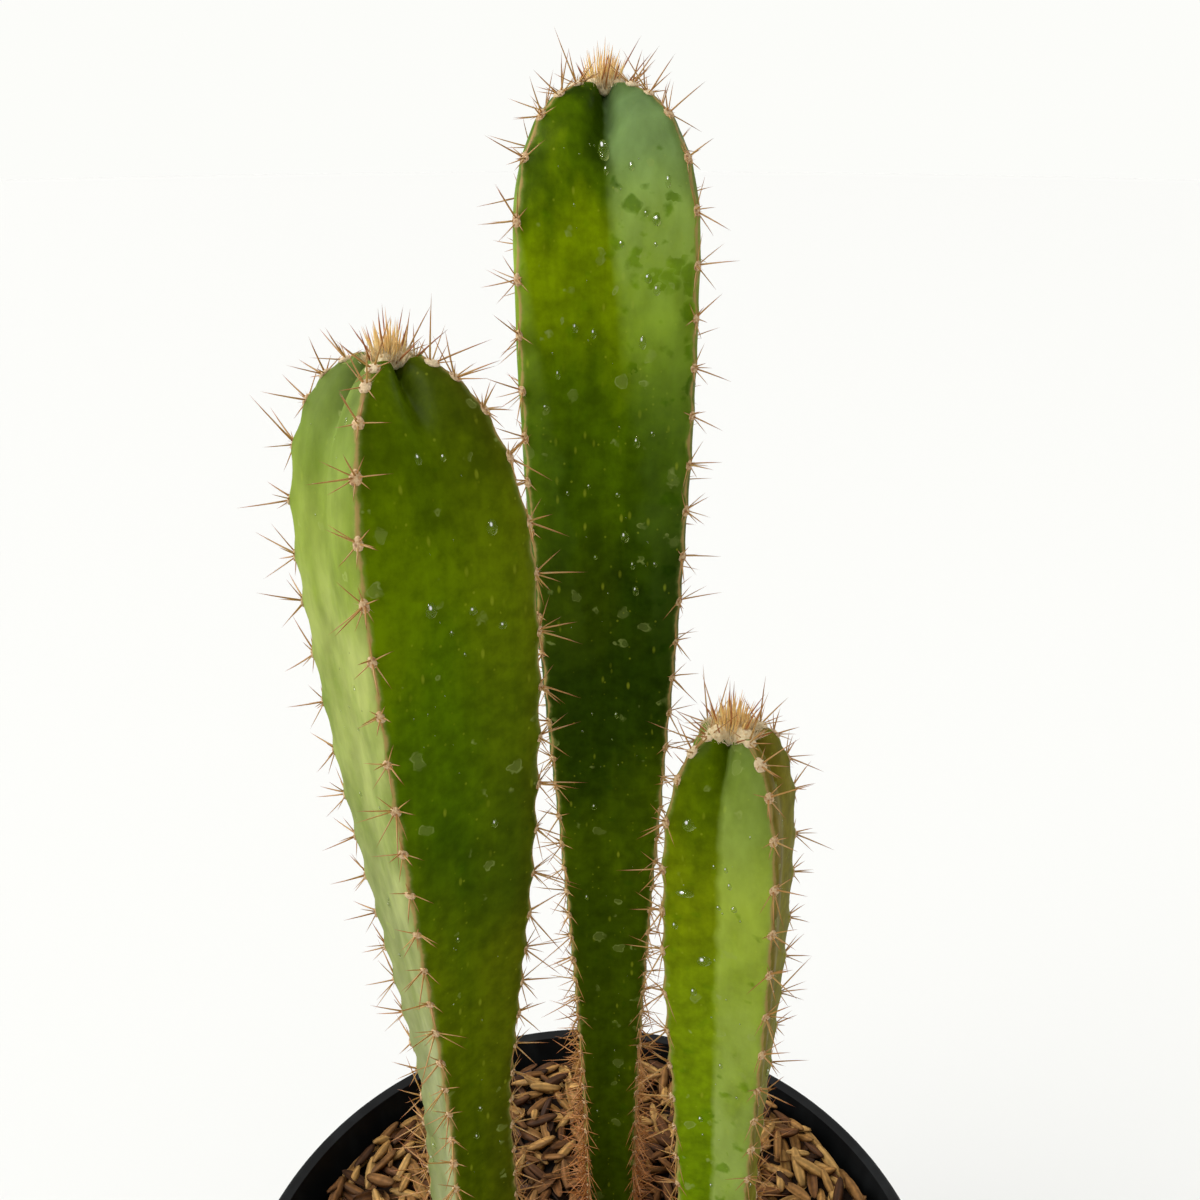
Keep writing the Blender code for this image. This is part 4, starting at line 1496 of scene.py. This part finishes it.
        # Kind, how many, their share of the tuft's radius, how far the outer ones splay, finish
        plan = (
            (Needle.CUSHION, 70, 0.9, 34, self.workshop.wool),
            (Needle.YOUNG, 66, 0.52, 16, self.workshop.gold),
            (Needle.GUARD, 11, 0.9, 46, self.workshop.guard),
        )
        for number, (kind, count, share, splay, material) in enumerate(plan):
            rows = []
            total = round(count * self.tuft)
            for i in range(total):
                out = math.sqrt((i + 0.5) / total)
                a = i * GOLDEN_ANGLE + number
                flat = Vector((math.cos(a), math.sin(a), 0))
                lean = math.radians(splay) * out
                rows.append(
                    {
                        "place": base + flat * radius * share * out + UP * ((1 - out) * 1.2 * MM),
                        "outward": flat * math.sin(lean) + UP * math.cos(lean),
                        "along": flat * math.cos(lean) - UP * math.sin(lean),
                        "spin": a,
                        "reach": mix(1.1, 0.78, out) * (0.85 + 0.15 * self.crown_scale),
                        "crowd": 1.0,
                    }
                )
            parts.append(self._needles("tuft", rows, kind, 10 + number, material))
        parts.append(self._cushion(base, radius))
        return merge_meshes("crown_tuft_" + self.key, parts)

    def _cushion(self, base: Vector, radius: float) -> Object:
        """Woolly cushions that fill the dish of the apex: one in the middle and one by each rib.

        Args:
            base: Middle of the dish.
            radius: Radius of the tuft.

        Returns:
            The cushions.
        """
        rows = [{"place": base, "outward": UP, "along": Vector((0, 1, 0)), "pad": 0.75}]
        for rib in range(4):
            side = self.way(rib * QUARTER)
            place = base + side * radius * 0.66 + UP * (0.3 * MM)
            outward = (side * 0.7 + UP).normalized()
            rows.append({"place": place, "outward": outward, "along": side, "pad": 0.5})
        sizes = dict(width=radius * 0.66, height=1.0 * MM * self.tuft, fluff=1.3 * MM, fluff_size=0.9 * MM)
        return self.workshop.pads.grow("cushion", rows, self.workshop.wool, seed=self.seed, **sizes)

    def _dew(self) -> Object:
        """Water drops that cling to the faces.

        Returns:
            The drops.
        """
        rng = random.Random(self.seed + 40)
        places = [(math.radians(a), HUSK_TOP + h * MM, s * MM, t) for a, h, s, t in self.large_drops]
        for _ in range(self.drops):
            angle = rng.randrange(4) * QUARTER + math.radians(rng.uniform(13, 77))
            height = mix(HUSK_TOP + 12 * MM, self.top - 7 * MM, rng.random() ** 0.6)
            size = mix(0.14, 0.8, rng.random() ** 4) * MM
            places.append((angle, height, size, rng.uniform(0.9, 1.6)))
        rows = []
        for angle, height, size, stretch in places:
            normal = self.normal(angle, height)
            along = (UP - normal * normal.z).normalized()
            sizes = {"size": size, "stretch": stretch}
            rows.append({"place": self.point(angle, height), "outward": normal, "along": along, **sizes})
        sizes = dict(flatness=0.5, sag=0.72, seed=self.seed)
        return self.workshop.drops.grow("dew_" + self.key, rows, self.workshop.water, **sizes)


@dataclass
class NurseryPot:
    """Thin black nursery pot with a stepped rim, a rolled lip and drain holes."""

    height: float = POT_HEIGHT
    rim_radius: float = 75 * MM
    base_radius: float = 54 * MM
    wall: float = 1.4 * MM
    rim_band: float = 11 * MM
    rim_step: float = 1.8 * MM
    lip_drop: float = 1.2 * MM
    lip_roll: float = 0.6 * MM
    foot_round: float = 2.5 * MM
    drain_count: int = 6
    drain_radius: float = 5 * MM
    drain_ring: float = 36 * MM
    sides: int = 160

    def dress(self) -> list[Object]:
        """Build the pot and cut its drain holes.

        Returns:
            The finished pot.
        """
        blank = link_object("pot_blank", turned_mesh("pot_blank", self._profile(), self.sides))
        face_outward(blank.data)
        drill = link_object("drill", self._drill())
        cut = blank.modifiers.new("drain holes", "BOOLEAN")
        cut.operation = "DIFFERENCE"
        cut.solver = "EXACT"
        cut.object = drill
        mesh = plain_mesh(blank)
        for obj in (drill, blank):
            bpy.data.objects.remove(obj, do_unlink=True)
        mesh.name = "nursery_pot"
        mesh.materials.clear()
        mesh.materials.append(MouldedPolypropylene().build())
        mesh.shade_smooth()
        mesh.set_sharp_from_angle(angle=math.radians(38))
        pot = link_object("nursery_pot", mesh)
        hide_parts("pot")
        return [pot]

    def _profile(self) -> list[tuple[float, float]]:
        """Section of the pot from the middle of its underside round to its inner floor.

        Returns:
            Pairs of radius and height.
        """
        foot, base, rim, wall, roll = (
            self.foot_round, self.base_radius, self.rim_radius, self.wall, self.lip_roll
        )
        band, lip = self.height - self.rim_band, self.height - self.lip_drop
        outer = rim - self.rim_step
        low = mix(base, outer, band / self.height)
        bends = [QUARTER * i / 6 for i in range(1, 7)]
        climbs = [i / 12 for i in range(1, 13)]
        steps = [i / 5 for i in range(1, 6)]
        rolls = [-QUARTER + math.pi * i / 8 for i in range(9)]
        return [
            (0.0, 0.0),
            (base - foot, 0.0),
            *((base - foot * (1 - math.sin(a)), foot * (1 - math.cos(a))) for a in bends),
            *((mix(base, low, t), mix(foot, band, t)) for t in climbs),
            *((low + (self.rim_step - 0.4 * MM) * smooth(t), band + 0.9 * MM * t) for t in steps),
            (rim - 0.4 * MM, lip - 0.2 * MM),
            *((rim - roll + roll * math.cos(a), lip + roll + roll * math.sin(a)) for a in rolls),
            (rim - 1.1 * MM, self.height - 0.05 * MM),
            (outer - wall + 0.6 * MM, self.height - 0.5 * MM),
            (outer - wall + 0.4 * MM, lip - 0.6 * MM),
            (low - wall, band),
            *((mix(low, base, t) - wall, mix(band, foot + wall, t)) for t in climbs),
            (base - foot, wall + 0.4 * MM),
            (base - foot - wall, wall),
            (0.0, wall),
        ]

    def _drill(self) -> Mesh:
        """Upright cylinders that cut the drain holes.

        Returns:
            Their mesh.
        """
        work = bmesh.new()
        sizes = dict(cap_ends=True, segments=32, radius1=self.drain_radius, radius2=self.drain_radius)
        for i in range(self.drain_count):
            a = math.tau * i / self.drain_count
            place = Vector((math.cos(a), math.sin(a), 0)) * self.drain_ring
            bmesh.ops.create_cone(work, depth=10 * MM, matrix=Matrix.Translation(place), **sizes)
        mesh = bpy.data.meshes.new("drill")
        work.to_mesh(mesh)
        work.free()
        return mesh


@dataclass
class TopDressing:
    """Rice husks strewn over the potting mix."""

    feet: list[tuple[float, float]]
    husks: int = 1750
    wall_husks: int = 190
    reach: float = 65.4 * MM
    wall_reach: float = 68.4 * MM
    foot_clear: float = 6.5 * MM
    heap: float = 4.6 * MM
    heap_way: float = 28.0  # degrees
    length: float = 4.2 * MM
    width: float = 1.3 * MM
    depth: float = 1.2 * MM
    bend: float = 0.35 * MM
    tilt: float = 30.0  # degrees
    bed_depth: float = 2.2 * MM
    seed: int = 7

    def dress(self, workshop: Workshop) -> list[Object]:
        """Build the bed and the husks on it.

        Args:
            workshop: The shared trees and finishes.

        Returns:
            The finished pieces.
        """
        sizes = {name: getattr(self, name) for name in ("length", "width", "depth", "bend", "seed")}
        sizes.update(tilt=math.radians(self.tilt), size_low=0.78, size_high=1.18)
        bed = self._bed()
        husks = workshop.husks.grow("rice_husks", self._places(), RiceHusk().build(), **sizes)
        for piece in (bed, husks):
            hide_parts("husk_layer")
        return [bed, husks]

    def _bed(self) -> Object:
        """Packed crumbs under the loose husks, uneven on top.

        Returns:
            The bed.
        """
        low, high = HUSK_TOP - HUSK_DEPTH, HUSK_TOP - self.bed_depth
        rings = [(BED_RADIUS * i / 34, high) for i in range(35)]
        rings += [(BED_RADIUS, low), (BED_RADIUS * 0.5, low), (0.0, low)]
        mesh = turned_mesh("husk_bed", rings, 120)
        for vertex in mesh.vertices:
            if vertex.co.z > low + 1 * MM:
                vertex.co.z += 1.5 * MM * noise.noise(vertex.co * 320)
                vertex.co.z += 0.8 * MM * noise.noise(vertex.co * 90)
                vertex.co.z += self._heaped(vertex.co.x, vertex.co.y)
        face_outward(mesh)
        mesh.materials.append(PeatMix("packed_husk_crumbs", "#140c07", "#3c2818", "#7c6346").build())
        return link_object("husk_bed", mesh)

    def _heaped(self, x: float, y: float) -> float:
        """How far the dressing is heaped up at a place: towards the wall, most at the right."""
        side = 0.5 + 0.5 * math.cos(math.atan2(y, x) - math.radians(self.heap_way))
        return self.heap * smooth((math.hypot(x, y) - 34 * MM) / (34 * MM)) * side ** 1.5

    def _places(self) -> list[Row]:
        """Rows for the husks: strewn evenly, and laid along the wall at the edge.

        Returns:
            The rows.
        """
        rng = random.Random(self.seed)
        rows = []
        for i in range(self.husks):
            radius = self.reach * math.sqrt((i + 0.5) / self.husks)
            a = i * GOLDEN_ANGLE
            x = radius * math.cos(a) + rng.uniform(-0.8, 0.8) * MM
            y = radius * math.sin(a) + rng.uniform(-0.8, 0.8) * MM
            lift = rng.uniform(-1.9, 1.9) * MM + self._heaped(x, y)
            yaw = rng.uniform(0, math.tau)
            near = min(math.hypot(x - fx, y - fy) for fx, fy in self.feet)
            if math.hypot(x, y) <= self.reach and near > self.foot_clear:
                # painted shade: husks near the stems get a darker tint
                dry = mix(0.35, 1.0, smooth((near - 9 * MM) / (20 * MM)))
                rows.append({"place": Vector((x, y, HUSK_TOP + lift)), "yaw": yaw, "dry": dry})
        for i in range(self.wall_husks):
            a = math.tau * (i + rng.random()) / self.wall_husks
            radius = self.wall_reach - rng.uniform(0, 3.2) * MM
            x, y = radius * math.cos(a), radius * math.sin(a)
            lift = rng.uniform(-1.0, 1.2) * MM + self._heaped(x, y)
            yaw = a + QUARTER + rng.uniform(-0.22, 0.22)
            rows.append({"place": Vector((x, y, HUSK_TOP + lift)), "yaw": yaw, "dry": 1.0})
        return rows


@dataclass
class PottingMix:
    """The carried-over solid of potting mix, dressed as moist peat."""

    node: str = "potting_mix"

    def dress(self) -> None:
        """Give the solid its finish."""
        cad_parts[self.node].data.materials.clear()
        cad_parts[self.node].data.materials.append(PeatMix().build())


@dataclass
class Studio(NodeWork):
    """White studio: paper floor, bright dome, small soft boxes and the photograph's camera."""

    floor_radius: float = 6.0
    camera_place: tuple[float, float, float] = (2.414 * MM, -182.42 * MM, 361.93 * MM)
    camera_pitch: float = 23.0  # degrees
    lens: float = 36.0  # millimetres, as the film's width
    film_width: float = 36.0
    paper_light: tuple[float, float, float] = (0.977, 0.98, 0.95)
    key_way: tuple[float, float, float] = (-0.85, 0.05, 0.42)
    key_strength: float = 2.4
    dome_strength: float = 0.84
    aim: tuple[float, float, float] = (0, 0, 0.24)
    # Name, place, side in metres and power in watts
    soft_boxes: tuple[tuple[str, tuple[float, float, float], float, float], ...] = (
        ("soft_box_left", (-0.75, 0.15, 0.62), 0.4, 12.0),
        ("soft_box_right", (0.6, 0.55, 0.7), 0.3, 5.0),
        ("soft_box_front", (-0.4, -0.55, 0.95), 0.56, 35.0),
    )

    def dress(self) -> None:
        """Build floor, light and camera."""
        self._floor()
        self._dome()
        self._hang_boxes()
        self._camera()
        bpy.context.scene.view_settings.view_transform = "Standard"

    def _floor(self) -> None:
        """Wide round sheet of white paper."""
        work = bmesh.new()
        bmesh.ops.create_circle(work, cap_ends=True, segments=96, radius=self.floor_radius)
        mesh = bpy.data.meshes.new("studio_floor")
        work.to_mesh(mesh)
        work.free()
        mesh.materials.append(StudioPaper().build())
        link_object("studio_floor", mesh)

    def _dome(self) -> None:
        """Sky of light: white to the eye, brighter overhead, at the left and behind."""
        world = bpy.data.worlds.new("studio_dome")
        bpy.context.scene.world = world
        world.use_nodes = True
        self.tree = world.node_tree
        self.tree.nodes.clear()
        way = self.add(Kind.PLACE).outputs["Generated"]
        _, far, high = self.add(Kind.SPLIT, way).outputs
        overhead = self.add(Kind.REMAP, high, 0.25, 0.9, 0.0, 0.85)
        behind = self.add(Kind.REMAP, far, -0.6, 0.9, 0.1, 0.6)
        facing = self.add(Kind.DOT, way, Vector(self.key_way).normalized())
        spread = 0.45, 0.95, 0.0, self.key_strength
        left = self.add(Kind.REMAP, facing, *spread, interpolation_type="SMOOTHSTEP")
        total = self.add(Kind.ADD, self.add(Kind.ADD, behind, left), overhead)
        total = self.add(Kind.MULTIPLY, total, self.dome_strength)
        light = self.add(Kind.BACKGROUND, color=(1, 1, 0.99, 1), strength=total)
        backdrop = self.add(Kind.BACKGROUND, color=(*self.paper_light, 1), strength=1.0)
        seen = self.add(Kind.LIGHT_PATH).outputs["Is Camera Ray"]
        self.add(Kind.WORLD, surface=self.add(Kind.MIX_SHADER, seen, light, backdrop))

    def _hang_boxes(self) -> None:
        """Square area lights that face the plant and only add highlights to the dome's light."""
        for name, place, size, power in self.soft_boxes:
            light = bpy.data.lights.new(name, "AREA")
            light.energy, light.size = power, size
            box = link_object(name, light)
            box.location = place
            box.visible_diffuse = False
            aim = Vector(self.aim) - Vector(place)
            box.rotation_euler = aim.to_track_quat("-Z", "Y").to_euler()

    def _camera(self) -> None:
        """Camera at the photograph's place, with its field of view."""
        data = bpy.data.cameras.new("camera")
        data.lens, data.sensor_width = self.lens, self.film_width
        data.clip_start, data.clip_end = 0.01, 60.0
        camera = link_object("camera", data)
        camera.location = self.camera_place
        camera.rotation_euler = (math.radians(90 - self.camera_pitch), 0, 0)
        bpy.context.scene.camera = camera


STEMS = (
    Stem(
        "tall",
        foot=(5.2 * MM, 20 * MM), lean=-2.2 * MM, lean_power=0.7, apex=238.3 * MM, widest=19.1 * MM,
        narrowest=6.8 * MM, taper_from=0, taper_to=210 * MM, taper_power=1.08, dome=26 * MM,
        dome_power=2.5, turn=46.5, crown_scale=1.0, seed=11,
        skin=CactusSkin(
            "cactus_skin_tall",
            greens=(
                (0.25, "#425504"), (0.36, "#3f5204"), (0.45, "#4e6204"), (0.56, "#304404"),
                (0.67, "#2b4004"), (0.8, "#506a02"), (0.905, "#7c9402"), (0.95, "#4e6802"), (1.0, "#344a02"),
            ),
            waxes=(
                (0.76, "#708f36"), (0.86, "#98b640"), (0.92, "#9eba58"), (0.97, "#809c5a"), (1.0, "#76925c"),
            ),
            wax_around=(
                (0.0, 0.4), (0.5, 0.5), (0.733, 0.5), (0.745, 0.0), (0.862, 0.0), (0.884, 0.8),
                (0.93, 0.95), (0.985, 0.95), (1.0, 0.6),
            ),
            wax_rise=((0.55, 0.0), (0.68, 0.18), (0.8, 0.34), (0.845, 0.6), (0.89, 1.0)),
            wet_around=((0.0, 1.0), (0.5, 0.4), (0.76, 0.75), (0.86, 0.6), (0.9, 0.9), (0.95, 1.25)),
            wet_rise=((0.2, 0.7), (0.78, 0.8), (0.87, 1.2), (0.93, 1.2), (0.955, 0.3)),
            olive_around=((0.0, 0.6), (0.24, 0.5), (0.3, 0.0), (1.0, 0.0)),
            slant=0.28,
            glow_share=0.18,
        ),
        drops=240,
        large_drops=(
            (313, 238, 1.0, 1.9), (349, 232.5, 0.6, 1.7), (343, 227, 0.55, 1.6), (338.5, 218.5, 0.75, 1.1),
            (324, 223.5, 0.6, 1), (342, 223.5, 0.45, 1), (342, 194, 0.55, 1), (280, 198.5, 0.5, 1),
        ),
    ),
    Stem(
        "left",
        foot=(-20 * MM, -26 * MM), lean=-5.2 * MM, lean_power=2.4, apex=205.4 * MM, widest=17.3 * MM,
        narrowest=7.6 * MM, taper_from=78 * MM, taper_to=180 * MM, taper_power=0.72, dome=32 * MM,
        dome_power=2.35, turn=-12.0, crown_scale=0.95, seed=12,
        skin=CactusSkin(
            "cactus_skin_left",
            greens=(
                (0.35, "#4a5802"), (0.52, "#5e6e02"), (0.65, "#3c5602"), (0.76, "#526e02"),
                (0.86, "#667f02"), (0.94, "#526802"), (1.0, "#34480a"),
            ),
            waxes=(
                (0.4, "#9a9f72"), (0.82, "#a6b062"), (0.9, "#94a44a"), (0.96, "#809440"), (1.0, "#6e803c"),
            ),
            wax_around=((0.24, 0.0), (0.28, 0.6), (0.7, 0.6), (0.75, 0.7), (0.9, 0.92), (1.0, 1.0)),
            wax_rise=((0.0, 1.0), (1.0, 1.0)),
            wet_around=((0.0, 0.7), (0.22, 0.8), (0.27, 0.0), (0.75, 0.0), (1.0, 0.1)),
            wet_rise=((0.0, 1.0), (1.0, 0.6)),
            olive_around=((0.0, 0.0), (0.08, 0.0), (0.2, 0.25), (0.25, 0.5), (0.3, 0.0)),
            olive="#55500c",
            dashes=0.45,
        ),
        drops=110,
        large_drops=(
            (71.5, 192, 0.9, 1.3), (348, 207, 0.5, 1), (71.5, 178, 0.8, 0.8), (55.5, 181, 0.7, 1),
            (29, 182.5, 1.2, 1), (40.5, 178.5, 0.5, 1),
        ),
        tuft=0.85,
        shaggy=3.6,
        groove_shaft=0.03,
        groove_apex=0.05,
        crack_fold=3.2,
        crack_length=30 * MM,
    ),
    Stem(
        "short",
        foot=(24 * MM, -24 * MM), lean=-1.6 * MM, lean_power=2.0, apex=149.2 * MM, widest=11.8 * MM,
        narrowest=7.9 * MM, taper_from=50 * MM, taper_to=121 * MM, taper_power=0.95, dome=24 * MM,
        dome_power=2.45, turn=27.0, crown_scale=0.8, seed=13,
        skin=CactusSkin(
            "cactus_skin_short",
            greens=(
                (0.4, "#6e8a08"), (0.7, "#788e0c"), (0.86, "#748408"), (0.96, "#526602"), (1.0, "#465a02"),
            ),
            waxes=((0.5, "#a0b45c"), (0.82, "#acc04c"), (0.95, "#98ae50"), (1.0, "#90a850")),
            wax_around=(
                (0.0, 0.0), (0.25, 0.1), (0.5, 0.5), (0.74, 0.5), (0.76, 0.0), (0.865, 0.0),
                (0.89, 0.85), (1.0, 0.7),
            ),
            wax_rise=((0.0, 0.9), (1.0, 1.0)),
            wet_around=((0.0, 0.3), (0.5, 0.5), (0.78, 1.0), (0.98, 1.0)),
            wet_rise=((0.5, 1.0), (0.8, 0.7), (0.95, 0.2)),
            olive_around=((0.0, 0.9), (0.22, 0.8), (0.27, 0.0), (1.0, 0.0)),
            glow_share=0.35,
            dashes=0.5,
            olive="#76641c",
        ),
        drops=80,
        large_drops=(
            (286, 144, 1.1, 1), (286, 132, 1.6, 0.45), (279, 125.5, 0.6, 1.2), (302.5, 119.5, 1.3, 0.8),
            (316.5, 130, 0.5, 1), (332, 130.5, 0.6, 1), (293, 113, 0.7, 1.3),
        ),
        tuft=1.3,
    ),
)


def main() -> None:
    """Build and dress every sub-assembly, and report each piece."""
    workshop = Workshop()
    pieces = NurseryPot().dress()
    PottingMix().dress()
    pieces += TopDressing([stem.foot for stem in STEMS]).dress(workshop)
    for stem in STEMS:
        pieces += stem.dress(workshop)
    for piece in pieces:
        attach(piece, "root")
        piece.data.calc_loop_triangles()
        LOG.info("%s: %d triangles", piece.name, len(piece.data.loop_triangles))
    Studio().dress()


if __name__ == "__main__":
    logging.basicConfig(level=logging.INFO, format="%(message)s")
    main()
